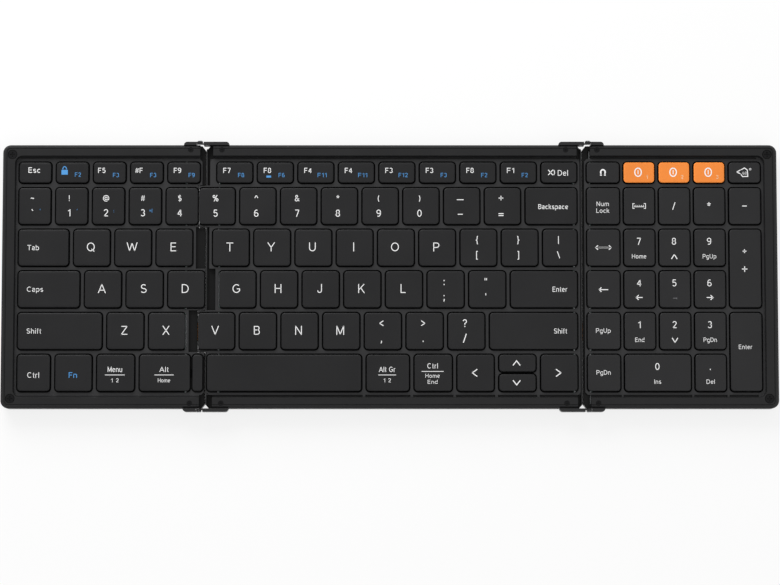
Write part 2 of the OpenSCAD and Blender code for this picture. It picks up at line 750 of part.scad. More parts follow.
module right_frame() {
    past = right_seam - past_seam;
    rims = [right_seam + right_rim_start, right_x + over];
    color(frame_grey)
        difference() {
            frame_form([past, right_x], [past, right_x - end_rim_w], rims) {
                translate([0, 0, split_z]) linear_extrude(ledge_z - split_z) right_plan();
                translate([0, 0, split_z])
                    linear_extrude(deck_z - split_z)
                        difference() {
                            right_deck_plan();
                            right_seam_corners();
                        }
                box([right_x - end_margin + well_clear, right_x + over], [-half_d, half_d],
                    [split_z, rim_z + over]);
            }
            hollow(right_hollow, [split_z - over, under_deck_z], corner_screws_r);
            wells(right_keys);
            rim_groove([right_seam + right_rim_start, right_x - end_rim_w - field_r],
                       front_row(right_keys));
            screw_holes(corner_screws_r);
            at_right_hinges() leaf_cut(side_tab, -1);
            ribbon_slot([right_seam, right_hollow[0] + over]);
        }
}

// Bottom covers: trays with bosses under the corner screws, ribs under the key plate and foot recesses
module cover(x, hollow_x, screws, feet, ribs) {
    ribbon_half = ribbon_w / 2 + over;
    rib_half = rib_t / 2;
    profile = [[cover_bevel, foot_h], [0, foot_h + cover_bevel], [0, split_z]];
    difference() {
        union() {
            difference() {
                intersection() {
                    shaped_block(x, [-half_d, half_d], corner_r, profile);
                    translate([0, 0, foot_h - over]) linear_extrude(cover_h + 2 * over) children();
                }
                hollow(hollow_x, [floor_z, split_z + over], screws);
            }
            for (rib_x = ribs)
                box([rib_x - rib_half, rib_x + rib_half], [3 - hollow_y, hollow_y - 3],
                    [floor_z - seat, plate_z]);
        }
        for (p = screws)
            translate([p[0], p[1], floor_z + 0.1]) cylinder(r = screw_r + pin_clear, h = cover_h);
        for (p = feet)
            foot_recess(p);
        box([left_x, right_x], [ribbon_y - ribbon_half, ribbon_y + ribbon_half], [split_z, plate_z + over]);
    }
}

module left_bottom_cover() {
    color(cover_grey)
        cover([left_x, left_seam + past_seam], left_hollow, corner_screws_l, left_foot_places,
              quarters(left_hollow))
            left_plan();
}

module middle_bottom_cover() {
    color(cover_grey)
        cover([left_seam - past_seam, right_seam + past_seam], middle_hollow, [], middle_foot_places,
              middle_ribs)
            middle_plan();
}

module right_bottom_cover() {
    color(cover_grey)
        cover([right_seam - past_seam, right_x], right_hollow, corner_screws_r, right_foot_places,
              quarters(right_hollow))
            right_plan();
}

// Feet: long pads glued into the covers
foot_y = half_d - foot_in - foot_d / 2;
seam_foot_in = foot_in + foot_shift;
left_foot_places = [for (s = [-1, 1]) [left_x + foot_in + foot_l / 2, s * foot_y]];
right_foot_places = [for (s = [-1, 1]) [right_x - foot_in - foot_l / 2, s * foot_y]];
middle_foot_places = [
    for (x = [left_seam + seam_foot_in + foot_l / 2, right_seam - seam_foot_in - foot_l / 2], s = [-1, 1])
        [x, s * foot_y]
];

// Places of the ribs: even ones in the side panels, beside the battery and the board in the middle one
function quarters(x) = [for (i = [1:3]) x[0] + i * (x[1] - x[0]) / 4];
battery_end = battery_x + battery_l / 2;
middle_ribs = [
    middle_hollow[0] + 6,
    for (i = [1, 2]) battery_end + i * (board_x[0] - battery_end) / 3,
    (board_x[1] + middle_hollow[1]) / 2
];

foot_r = foot_d / 2 - 0.5;
foot_room = 0.1;

module foot_recess(p) {
    size = [foot_l + 2 * foot_room, foot_d + 2 * foot_room];
    translate([p[0], p[1], -over])
        linear_extrude(foot_h + foot_seat + over)
            rounded_rect(-size[0] / 2, -size[1] / 2, size[0], size[1], foot_r);
}

module foot(p) {
    shaped_block([p[0] - foot_l / 2, p[0] + foot_l / 2], [p[1] - foot_d / 2, p[1] + foot_d / 2], foot_r,
                 [[0.3, 0], [0, 0.3], [0, foot_h + foot_seat]]);
}

module left_feet() {
    color(foot_black) for (p = left_foot_places) foot(p);
}

module middle_feet() {
    color(foot_black) for (p = middle_foot_places) foot(p);
}

module right_feet() {
    color(foot_black) for (p = right_foot_places) foot(p);
}

// Layers under the keys
module layer(x, z, inset, posts) {
    hollow(x, z, posts, inset, inset);
}

module left_key_plate() {
    color(steel) layer(left_hollow, [plate_z, membrane_z], 0.3, corner_screws_l);
}

module right_key_plate() {
    color(steel) layer(right_hollow, [plate_z, membrane_z], 0.3, corner_screws_r);
}

module middle_key_plate() {
    color(steel)
        difference() {
            layer(middle_hollow, [plate_z, membrane_z], 0.3, []);
            socket_room();
        }
}

module left_membrane() {
    color(film_green) layer(left_hollow, [membrane_z, well_z], 0.8, corner_screws_l);
}

module right_membrane() {
    color(film_green) layer(right_hollow, [membrane_z, well_z], 0.8, corner_screws_r);
}

module middle_membrane() {
    color(film_green)
        difference() {
            layer(middle_hollow, [membrane_z, well_z], 0.8, []);
            socket_room();
        }
}

// Rubber sheet with one hollow dome under each key, and a tongue for a key beyond the sheet's edge
module dome_sheet(x, keys, posts, tongue = []) {
    sheet_z = well_z + rubber_t;
    dome_top = cap_under_z - 0.3;
    difference() {
        union() {
            layer(x, [well_z, sheet_z], 1.2, posts);
            for (t = tongue) {
                y = t[1] + t[3] / 2;
                box([x[1] - 2, t[0] + t[2] / 2], [y - 2, y + 2], [well_z, sheet_z]);
            }
            for (k = keys) {
                r = dome_reach(k);
                at_middle(k)
                    rotate_extrude()
                        polygon([[0, well_z], [r + 0.3, well_z], [r + 0.3, sheet_z], [r, sheet_z],
                                 [r * 0.6, dome_top - 0.5], [r * 0.6, dome_top], [0, dome_top]]);
            }
        }
        for (k = keys) {
            r = dome_reach(k) - rubber_t;
            at_middle(k)
                rotate_extrude()
                    polygon([[0, well_z - over], [r, well_z - over], [r, well_z + rubber_t / 2],
                             [r * 0.55, dome_top - 0.9], [0, dome_top - 0.9]]);
        }
        children();
    }
}

function dome_reach(k) = min(dome_r, min(k[2], k[3]) / 2 - 0.8);

module at_middle(k) {
    translate([k[0] + k[2] / 2, k[1] + k[3] / 2, 0]) children();
}

module left_dome_sheet() {
    color(rubber_grey) dome_sheet(left_hollow, left_keys, corner_screws_l, [space_end]);
}

module middle_dome_sheet() {
    color(rubber_grey) dome_sheet(middle_hollow, middle_keys, []) socket_room();
}

module right_dome_sheet() {
    color(rubber_grey) dome_sheet(right_hollow, right_keys, corner_screws_r);
}

// Screws
module left_screws() {
    color(dark_steel) {
        for (p = corner_screws_l) corner_screw(p);
        at_left_hinges() leaf_screw(side_tab, -1);
    }
}

module middle_screws() {
    color(dark_steel) {
        at_left_hinges() leaf_screw(middle_tab, 1);
        at_right_hinges() leaf_screw(middle_tab, 1);
    }
}

module right_screws() {
    color(dark_steel) {
        for (p = corner_screws_r) corner_screw(p);
        at_right_hinges() leaf_screw(side_tab, -1);
    }
}

// Hinge leaf: a plate against the frame's wall, a tab into the wall and an ear on the axis
module leaf(length, tab, outer_ear) {
    ear_y = outer_ear ? leaf_t - ear_t : ear_lift;
    leaf_bottom = leaf_top - leaf_h;
    difference() {
        union() {
            difference() {
                translate([0, 0, leaf_bottom])
                    linear_extrude(leaf_h) {
                        translate([knuckle_clear, 0]) square([length - leaf_t - knuckle_clear, leaf_t]);
                        intersection() {
                            translate([length - leaf_t, 0]) circle(leaf_t);
                            translate([length - leaf_t, 0]) square(leaf_t);
                        }
                    }
                box([length - leaf_notch, length + over], [-over, leaf_t + over],
                    [leaf_bottom - over, leaf_bottom + leaf_notch]);
            }
            translate([0, ear_y + ear_t, 0])
                rotate([90, 0, 0])
                    linear_extrude(ear_t) {
                        circle(ear_r);
                        translate([0, -ear_r]) square([knuckle_clear + 0.1, ear_r + leaf_top]);
                    }
            box(tab, [-tab_d, 0.1], [tab_top - tab_t, tab_top]);
        }
        rotate([90, 0, 0]) cylinder(r = pin_r + pin_clear, h = 3 * leaf_t, center = true);
        translate([(tab[0] + tab[1]) / 2, -leaf_screw_in, tab_top - tab_t - over])
            cylinder(r = leaf_screw_r + pin_clear, h = tab_t + 2 * over);
    }
}

module side_leaf() {
    color(dark_steel) mirror([1, 0, 0]) leaf(side_leaf_l, side_tab, true);
}

module left_hinge_leaves() {
    at_left_hinges() side_leaf();
}

module right_hinge_leaves() {
    at_right_hinges() side_leaf();
}

module middle_hinge_leaves() {
    color(dark_steel) {
        at_left_hinges() leaf(middle_leaf_l, middle_tab, false);
        at_right_hinges() leaf(middle_leaf_l, middle_tab, false);
    }
}

module hinge_pin() {
    rotate([-90, 0, 0]) {
        translate([0, 0, ear_lift]) cylinder(r = pin_r, h = leaf_t - ear_lift + 0.1);
        translate([0, 0, leaf_t + 0.05]) cylinder(r = pin_head_r, h = pin_head_t);
    }
}

module hinge_pins() {
    color(steel) {
        at_left_hinges() hinge_pin();
        at_right_hinges() hinge_pin();
    }
}

// Battery, board and charging socket of the middle panel
module battery() {
    top_z = floor_z + battery_t;
    color(foil_silver)
        shaped_block([battery_x - battery_l / 2, battery_end], [-battery_d / 2, battery_d / 2], 2,
                     [[0.4, floor_z], [0, floor_z + 0.4], [0, top_z - 0.4], [0.4, top_z]]);
}

// Chips on the main board, each as [from the socket, from the board's back edge, width, depth, height]
chips = [[-18, 22, 7, 7, 0.9], [0, 20, 5, 4, 0.9], [10, 24, 6, 4, 0.7]];
board_hole_in = 3;

module main_board() {
    board_y = hollow_y - 0.6;
    top_z = floor_z + board_t;
    color(board_green) {
        difference() {
            box(board_x, [board_y - board_d, board_y], [floor_z, top_z]);
            for (x = [board_x[0] + board_hole_in, board_x[1] - board_hole_in])
                translate([x, board_y - board_d + board_hole_in, floor_z - over])
                    cylinder(r = 1.2, h = board_t + 2 * over);
        }
        for (c = chips)
            box([socket_x + c[0], socket_x + c[0] + c[2]], [board_y - c[1], board_y - c[1] + c[3]],
                [top_z, top_z + c[4]]);
    }
}

// Pill-shaped section of the charging socket, standing along Y from the back wall inwards
module socket_section(room) {
    r = socket_h / 2 + room;
    half = socket_w / 2 - socket_h / 2;
    for (s = [-1, 1]) translate([s * half, 0]) circle(r);
    translate([-half, -r]) square([2 * half, 2 * r]);
}

module along_back_wall(length) {
    translate([socket_x, socket_y, socket_z]) rotate([90, 0, 0]) linear_extrude(length) children();
}

module socket_cut() {
    translate([0, over, 0]) along_back_wall(socket_d + wall + 2 * over) socket_section(0.12);
}

module socket_room() {
    half = socket_w / 2 + 0.4;
    box([socket_x - half, socket_x + half], [socket_y - socket_d - 0.4, half_d],
        [plate_z - over, cap_top_z]);
}

module charging_socket() {
    color(steel) {
        difference() {
            along_back_wall(socket_d) socket_section(0);
            translate([0, over, 0]) along_back_wall(socket_d + over - 0.6) socket_section(-socket_t);
        }
        translate([0, -tongue_in, 0])
            along_back_wall(socket_d - tongue_in - 0.1) square([tongue_w, tongue_t], center = true);
    }
}

// Ribbon cables: flat strips through slots in the walls along the seams
module ribbon_slot(x) {
    box(x, [ribbon_y - ribbon_w / 2 - ribbon_room, ribbon_y + ribbon_w / 2 + ribbon_room],
        [ribbon_z - ribbon_room, ribbon_z + ribbon_t + ribbon_room]);
}

module ribbon(x) {
    box(x, [ribbon_y - ribbon_w / 2, ribbon_y + ribbon_w / 2], [ribbon_z, ribbon_z + ribbon_t]);
}

module left_ribbon() {
    color(ribbon_amber) ribbon([left_hollow[1] - ribbon_tail, middle_hollow[0] + ribbon_tail]);
}

module right_ribbon() {
    color(ribbon_amber) ribbon([middle_hollow[1] - ribbon_tail, right_hollow[0] + ribbon_tail]);
}

// Hollow keycap with a bevelled top and a stud over its dome
module keycap(k) {
    difference() {
        shaped_block([k[0], k[0] + k[2]], [k[1], k[1] + k[3]], cap_r,
                     [[0, cap_bottom_z], [0, cap_top_z - cap_bevel], [cap_bevel, cap_top_z]]);
        box([k[0] + cap_wall, k[0] + k[2] - cap_wall], [k[1] + cap_wall, k[1] + k[3] - cap_wall],
            [cap_bottom_z - over, cap_under_z]);
    }
    translate([k[0] + k[2] / 2, k[1] + k[3] / 2, cap_under_z - 0.25])
        cylinder(r = min(1.6, min(k[2], k[3]) / 2 - cap_wall - 0.2), h = 0.3);
}

module keycaps(keys, shade = cap_grey) { color(shade) for (k = keys) keycap(k); }

module keys_left_function() { keycaps(left_rows[0]); }
module keys_left_digits() { keycaps(left_rows[1]); }
module key_tab() { keycaps([left_rows[2][0]]); }
module keys_left_upper() { keycaps(slice(left_rows[2], 1, 3)); }
module key_caps_lock() { keycaps([left_rows[3][0]]); }
module keys_left_home() { keycaps(slice(left_rows[3], 1, 3)); }
module key_left_shift() { keycaps([left_rows[4][0]]); }
module keys_left_lower() { keycaps(slice(left_rows[4], 1, 2)); }
module keys_left_modifiers() { keycaps(left_rows[5]); }
module key_space_end() { keycaps([space_end]); }
module keys_middle_function() { keycaps(middle_rows[0]); }
module keys_middle_digits() { keycaps(slice(middle_rows[1], 0, 7)); }
module key_backspace() { keycaps([middle_rows[1][8]]); }
module keys_middle_upper() { keycaps(middle_rows[2]); }
module keys_middle_home() { keycaps(slice(middle_rows[3], 0, 6)); }
module key_enter() { keycaps([middle_rows[3][7]]); }
module keys_middle_lower() { keycaps(slice(middle_rows[4], 0, 6)); }
module key_right_shift() { keycaps([middle_rows[4][7]]); }
module key_space() { keycaps([middle_rows[5][0]]); }
module keys_middle_modifiers() { keycaps(slice(middle_rows[5], 1, 2)); }
module keys_arrows() { keycaps(arrows); }
module keys_pad_function() { keycaps([pad_rows[0][0], pad_rows[0][4]], pad_cap_grey); }
module keys_channel() { keycaps(slice(pad_rows[0], 1, 3), cap_orange); }
module keys_pad_navigation() { keycaps(pad_navigation, pad_cap_grey); }
module keys_pad_operators() { keycaps(pad_operators, pad_cap_grey); }
module keys_pad_digits() { keycaps(pad_digits, pad_cap_grey); }
module keys_pad_tall() { keycaps(pad_tall, pad_cap_grey); }
module key_pad_zero() { keycaps([pad_zero], pad_cap_grey); }

left_frame();
middle_frame();
right_frame();
left_bottom_cover();
middle_bottom_cover();
right_bottom_cover();
left_key_plate();
middle_key_plate();
right_key_plate();
left_membrane();
middle_membrane();
right_membrane();
left_dome_sheet();
middle_dome_sheet();
right_dome_sheet();
left_screws();
middle_screws();
right_screws();
left_feet();
middle_feet();
right_feet();
left_hinge_leaves();
middle_hinge_leaves();
right_hinge_leaves();
hinge_pins();
battery();
main_board();
charging_socket();
left_ribbon();
right_ribbon();
keys_left_function();
keys_left_digits();
key_tab();
keys_left_upper();
key_caps_lock();
keys_left_home();
key_left_shift();
keys_left_lower();
keys_left_modifiers();
key_space_end();
keys_middle_function();
keys_middle_digits();
key_backspace();
keys_middle_upper();
keys_middle_home();
key_enter();
keys_middle_lower();
key_right_shift();
key_space();
keys_middle_modifiers();
keys_arrows();
keys_pad_function();
keys_channel();
keys_pad_navigation();
keys_pad_operators();
keys_pad_digits();
keys_pad_tall();
key_pad_zero();
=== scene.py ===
"""Looks of the folding keyboard: finishes, rounded keycaps, printed legends, lights and camera.

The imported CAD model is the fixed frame. Its nodes get materials, the keycaps are replaced by
softer ones of the same size, and each legend is printed on the cap that carries it.
"""

from __future__ import annotations

import json
import logging
import math
from collections.abc import Callable, Iterable, Sequence
from dataclasses import dataclass, field
from enum import Enum

import bpy
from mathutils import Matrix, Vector

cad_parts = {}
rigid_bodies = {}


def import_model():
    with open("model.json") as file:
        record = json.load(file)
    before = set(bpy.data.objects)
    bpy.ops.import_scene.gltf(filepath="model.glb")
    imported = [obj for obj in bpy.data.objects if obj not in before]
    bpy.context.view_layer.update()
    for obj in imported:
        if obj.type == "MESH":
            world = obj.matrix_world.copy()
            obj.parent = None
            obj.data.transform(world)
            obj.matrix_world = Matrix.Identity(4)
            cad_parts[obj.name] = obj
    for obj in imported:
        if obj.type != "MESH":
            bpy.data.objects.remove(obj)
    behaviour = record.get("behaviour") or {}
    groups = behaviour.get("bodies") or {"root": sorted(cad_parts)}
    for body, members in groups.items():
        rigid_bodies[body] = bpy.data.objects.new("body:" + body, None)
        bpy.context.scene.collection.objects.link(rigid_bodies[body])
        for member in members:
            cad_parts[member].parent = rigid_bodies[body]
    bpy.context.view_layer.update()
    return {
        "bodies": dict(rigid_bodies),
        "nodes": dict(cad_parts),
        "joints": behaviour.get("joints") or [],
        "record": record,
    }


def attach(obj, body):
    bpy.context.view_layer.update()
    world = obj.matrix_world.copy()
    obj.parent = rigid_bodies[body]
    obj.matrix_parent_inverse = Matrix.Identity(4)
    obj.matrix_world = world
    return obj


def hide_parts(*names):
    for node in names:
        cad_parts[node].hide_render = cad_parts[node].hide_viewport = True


LOG = logging.getLogger("keyboard")
MM = 0.001

Point = tuple[float, float]


class Ink(Enum):
    """Inks that the legends are printed in, with the colour of each."""

    WHITE = "#ffffff"
    BLUE = "#4f9de0"
    PALE_ORANGE = "#ffd2a8"
    FAINT = "#77777a"


class Align(Enum):
    """Which part of a word stands at its mark's place."""

    LEFT = "LEFT"
    CENTRE = "CENTER"
    RIGHT = "RIGHT"


@dataclass(frozen=True)
class Photo:
    """Frame of the photograph and where the keyboard lies in it."""

    width_px: float = 780
    height_px: float = 585
    centre_px: Point = (389.75, 276.3)
    mm_per_px: float = 0.456


@dataclass(frozen=True)
class Finish:
    """One surface finish.

    Attributes:
        colour: sRGB colour as a hex string.
        roughness: Roughness of the Principled shader.
        metallic: Metallic value of the Principled shader.
        drift: Share by which the colour wanders over the surface.
        grain: Strength of the fine moulded grain.
        grain_mm: Size of that grain.
        edge_mm: Radius that sharp edges are shaded with.
        specular: Specular level of the Principled shader.
        shades: Factors on the colour by height above the table, as (millimetres, factor): painted shade,
            painted highlights and tone.
    """

    colour: str
    roughness: float
    metallic: float = 0.0
    drift: float = 0.08
    grain: float = 0.12
    grain_mm: float = 0.35
    edge_mm: float = 0.0
    specular: float = 0.5
    # Factors by height that paint shade and highlights into the colour, along with plain tone changes.
    shades: tuple[Point, ...] = ()


@dataclass(frozen=True)
class CapShape:
    """Sizes of a dressed keycap, in millimetres."""

    corner_r: float = 1.5
    bevel: float = 0.45
    bevel_steps: int = 4
    corner_steps: int = 6
    wall: float = 0.9
    top: float = 0.9
    rim_drop: float = 0.02
    dish_inset: float = 1.6
    dish: float = 0.04


@dataclass(frozen=True)
class Cap:
    """Box of one keycap in the row frame, in metres."""

    low: Vector
    high: Vector

    @property
    def centre(self) -> Vector:
        """Middle of the box."""
        return (self.low + self.high) / 2


def srgb(colour: str) -> tuple[float, float, float, float]:
    """Turns a hex colour into linear RGBA.

    Args:
        colour: sRGB colour such as "#2e2e2f".

    Returns:
        The linear colour with full alpha.
    """
    parts = [int(colour[i : i + 2], 16) / 255 for i in (1, 3, 5)]
    linear = [c / 12.92 if c <= 0.04045 else ((c + 0.055) / 1.055) ** 2.4 for c in parts]
    return (*linear, 1.0)


class MaterialShop:
    """Makes each procedural material once and hands it out by name."""

    # Painted shade: the colour falls to a tenth between 3 and 6.5 mm above the table, darkening recess floors,
    # seam ledges and wells where shade falls.
    RECESS = ((0.0, 1.0), (2.9, 1.0), (3.0, 0.1), (6.5, 0.12), (7.2, 1.0))
    # Frame plastic: the painted recess shade below 7.2 mm, then rims half as bright, a tone of their own, from
    # 8.4 mm up.
    FRAME = (*RECESS, (7.7, 1.0), (8.4, 0.5), (11.0, 0.5))
    # Caps: painted shade on their sides below 8.2 mm, and a painted highlight line round the top bevel near
    # 8.7 mm.
    CAP = ((6.8, 0.08), (8.2, 0.1), (8.55, 0.9), (8.72, 1.8), (8.84, 1.0), (9.0, 1.0))
    FINISHES = {
        "frame_plastic": Finish(
            "#343435", 0.42, edge_mm=0.25, grain=0.1, specular=0.2, shades=FRAME
        ),
        "cover_plastic": Finish("#1d1d1e", 0.5, edge_mm=0.2, grain=0.2, specular=0.2),
        "key_plastic": Finish("#232324", 0.42, grain=0.1, grain_mm=0.25, specular=0.2, shades=CAP),
        "pad_key_plastic": Finish(
            "#29292a", 0.42, grain=0.1, grain_mm=0.25, specular=0.2, shades=CAP
        ),
        "orange_key_plastic": Finish(
            "#f98f3a", 0.5, grain=0.1, grain_mm=0.25, drift=0.04, specular=0.3, shades=CAP
        ),
        "plate_steel": Finish("#a9abad", 0.35, metallic=1.0, grain=0.05),
        "circuit_film": Finish("#5f7f76", 0.3),
        "dome_rubber": Finish("#101011", 0.7, specular=0.1),
        "screw_steel": Finish("#131314", 0.45, edge_mm=0.1, specular=0.15),
        "leaf_steel": Finish("#262627", 0.4, edge_mm=0.2, specular=0.3),
        "pin_steel": Finish("#c4c5c8", 0.3, metallic=0.8, edge_mm=0.1),
        "foot_rubber": Finish("#1b1b1c", 0.75, grain=0.3),
        "battery_foil": Finish("#c3c6c9", 0.3, metallic=0.9, grain=0.2),
        "board_laminate": Finish("#1f5a3a", 0.35),
        "socket_steel": Finish("#a3a5a8", 0.3, metallic=1.0),
        "ribbon_film": Finish("#b5762a", 0.3),
    }
    INK_FINISH = Finish("#ffffff", 0.55, drift=0.03, grain=0.0)
    FLOOR_FINISH = Finish("#ffffff", 0.9, drift=0.0, grain=0.0)
    BACKDROP = 0.78

    def __init__(self) -> None:
        """Starts with no material made."""
        self._made: dict[str, bpy.types.Material] = {}

    def get(self, name: str) -> bpy.types.Material:
        """Returns the material of a record slot, of an ink or of the floor.

        Args:
            name: A record slot, the name of an Ink, or "floor".

        Returns:
            The material, made on first use.
        """
        if name not in self._made:
            self._made[name] = self._make(name)
        return self._made[name]

    def _make(self, name: str) -> bpy.types.Material:
        """Makes one material.

        Args:
            name: A record slot, the name of an Ink, or "floor".

        Returns:
            The new material.
        """
        if name in self.FINISHES:
            return self._build(name, self.FINISHES[name])
        if name == "floor":
            return self._backdrop(self._build(name, self.FLOOR_FINISH))
        ink = self.INK_FINISH
        return self._build(
            f"ink_{name.lower()}",
            Finish(Ink[name].value, ink.roughness, drift=ink.drift, grain=ink.grain),
        )

    @classmethod
    def _backdrop(cls, material: bpy.types.Material) -> bpy.types.Material:
        """Makes the floor show as a white backdrop that keeps a share of the object's shadow.

        Args:
            material: The floor's own material.

        Returns:
            The same material.
        """
        tree = material.node_tree
        rays = tree.nodes.new("ShaderNodeLightPath")
        seen = rays.outputs["Is Camera Ray"]
        for kind in ("Is Glossy Ray", "Is Transmission Ray"):
            either = tree.nodes.new("ShaderNodeMath")
            either.operation = "MAXIMUM"
            tree.links.new(seen, either.inputs[0])
            tree.links.new(rays.outputs[kind], either.inputs[1])
            seen = either.outputs[0]
        share = tree.nodes.new("ShaderNodeMath")
        share.operation = "MULTIPLY"
        share.inputs[1].default_value = cls.BACKDROP
        tree.links.new(seen, share.inputs[0])
        white = tree.nodes.new("ShaderNodeEmission")
        blend = tree.nodes.new("ShaderNodeMixShader")
        tree.links.new(share.outputs[0], blend.inputs[0])
        tree.links.new(tree.nodes["Principled BSDF"].outputs[0], blend.inputs[1])
        tree.links.new(white.outputs[0], blend.inputs[2])
        tree.links.new(blend.outputs[0], tree.nodes["Material Output"].inputs["Surface"])
        return material

    @staticmethod
    def _build(name: str, finish: Finish) -> bpy.types.Material:
        """Builds the nodes of a finish: drifting colour and gloss, painted light and tone by height, soft
        edges and grain.

        Args:
            name: Name of the material.
            finish: What it looks like.

        Returns:
            The new material.
        """
        material = bpy.data.materials.new(name)
        material.use_nodes = True
        tree = material.node_tree
        shader = tree.nodes["Principled BSDF"]
        shader.inputs["Metallic"].default_value = finish.metallic
        shader.inputs["Specular IOR Level"].default_value = finish.specular
        place = tree.nodes.new("ShaderNodeTexCoord")

        cloud = tree.nodes.new("ShaderNodeTexNoise")
        cloud.inputs["Scale"].default_value = 45
        cloud.inputs["Detail"].default_value = 4
        tree.links.new(place.outputs["Object"], cloud.inputs["Vector"])
        ramp = tree.nodes.new("ShaderNodeValToRGB")
        base = srgb(finish.colour)
        ramp.color_ramp.elements[0].position = 0.3
        ramp.color_ramp.elements[1].position = 0.7
        ramp.color_ramp.elements[0].color = (*[c * (1 - finish.drift) for c in base[:3]], 1)
        ramp.color_ramp.elements[1].color = (
            *[min(1, c * (1 + finish.drift)) for c in base[:3]],
            1,
        )
        tree.links.new(cloud.outputs["Fac"], ramp.inputs["Fac"])
        colour = ramp.outputs["Color"]
        # Paints light into the colour by height: shade in recesses and on cap sides, highlights on cap bevels,
        # and the rim tone.
        if finish.shades:
            colour = MaterialShop._shaded(tree, place, colour, finish.shades)
        tree.links.new(colour, shader.inputs["Base Color"])

        gloss = tree.nodes.new("ShaderNodeMapRange")
        gloss.inputs["To Min"].default_value = max(0.05, finish.roughness - 0.05)
        gloss.inputs["To Max"].default_value = min(1.0, finish.roughness + 0.05)
        tree.links.new(cloud.outputs["Fac"], gloss.inputs["Value"])
        tree.links.new(gloss.outputs["Result"], shader.inputs["Roughness"])

        normal = None
        if finish.edge_mm:
            edge = tree.nodes.new("ShaderNodeBevel")
            edge.samples = 4
            edge.inputs["Radius"].default_value = finish.edge_mm * MM
            normal = edge.outputs["Normal"]
        if finish.grain:
            grain = tree.nodes.new("ShaderNodeTexNoise")
            grain.inputs["Scale"].default_value = 1 / (finish.grain_mm * MM)
            grain.inputs["Detail"].default_value = 2
            tree.links.new(place.outputs["Object"], grain.inputs["Vector"])
            bump = tree.nodes.new("ShaderNodeBump")
            bump.inputs["Strength"].default_value = finish.grain
            bump.inputs["Distance"].default_value = 0.02 * MM
            tree.links.new(grain.outputs["Fac"], bump.inputs["Height"])
            if normal is not None:
                tree.links.new(normal, bump.inputs["Normal"])
            normal = bump.outputs["Normal"]
        if normal is not None:
            tree.links.new(normal, shader.inputs["Normal"])
        return material

    @staticmethod
    def _shaded(
        tree: bpy.types.NodeTree,
        place: bpy.types.Node,
        colour: bpy.types.NodeSocket,
        shades: tuple[Point, ...],
    ) -> bpy.types.NodeSocket:
        """Paints light and shade into a colour: multiplies it by a factor that follows the height.

        Args:
            tree: Node tree of the material.
            place: Its texture coordinates.
            colour: The colour to shade.
            shades: Heights in millimetres, each with its factor on the colour (painted shade, painted
                highlight, tone).

        Returns:
            The shaded colour.
        """
        reach = shades[-1][0]
        split = tree.nodes.new("ShaderNodeSeparateXYZ")
        tree.links.new(place.outputs["Object"], split.inputs["Vector"])
        height = tree.nodes.new("ShaderNodeMapRange")
        height.inputs["From Max"].default_value = reach * MM
        tree.links.new(split.outputs["Z"], height.inputs["Value"])
        ramp = tree.nodes.new("ShaderNodeValToRGB")
        stops = ramp.color_ramp.elements
        while len(stops) < len(shades):
            stops.new(0.5)
        for stop, (level, factor) in zip(stops, shades):
            stop.position = level / reach
            stop.color = (factor, factor, factor, 1)
        tree.links.new(height.outputs["Result"], ramp.inputs["Fac"])
        mix = tree.nodes.new("ShaderNodeMix")
        mix.data_type = "RGBA"
        mix.blend_type = "MULTIPLY"
        mix.inputs["Factor"].default_value = 1.0
        tree.links.new(colour, mix.inputs["A"])
        tree.links.new(ramp.outputs["Color"], mix.inputs["B"])
        return mix.outputs["Result"]


@dataclass
class MeshDraft:
    """Points and faces of a mesh that is still being collected."""

    points: list[Vector] = field(default_factory=list)
    faces: list[tuple[int, ...]] = field(default_factory=list)
    slots: list[int] = field(default_factory=list)

    def add(self, points: Iterable[Vector], faces: Iterable[Sequence[int]], slot: int = 0) -> None:
        """Appends a patch.

        Args:
            points: Its points, in the row frame.
            faces: Its faces, as indices into those points.
            slot: Material slot of its faces.
        """
        start = len(self.points)
        self.points.extend(points)
        for face in faces:
            self.faces.append(tuple(start + i for i in face))
            self.slots.append(slot)

    def build(
        self, name: str, materials: Sequence[bpy.types.Material], smooth: bool
    ) -> bpy.types.Object:
        """Makes an object of what has been collected.

        Args:
            name: Name of the object and of its mesh.
            materials: Its materials, in slot order.
            smooth: True to shade it smooth where faces meet at a small angle.

        Returns:
            The linked object.
        """
        mesh = bpy.data.meshes.new(name)
        mesh.from_pydata(self.points, [], self.faces)
        for material in materials:
            mesh.materials.append(material)
        mesh.polygons.foreach_set("material_index", self.slots)
        if smooth:
            mesh.shade_smooth()
            mesh.set_sharp_from_angle(angle=math.radians(35))
        mesh.validate()
        obj = bpy.data.objects.new(name, mesh)
        bpy.context.collection.objects.link(obj)
        LOG.info("piece %s: %d faces", name, len(mesh.polygons))
        return obj


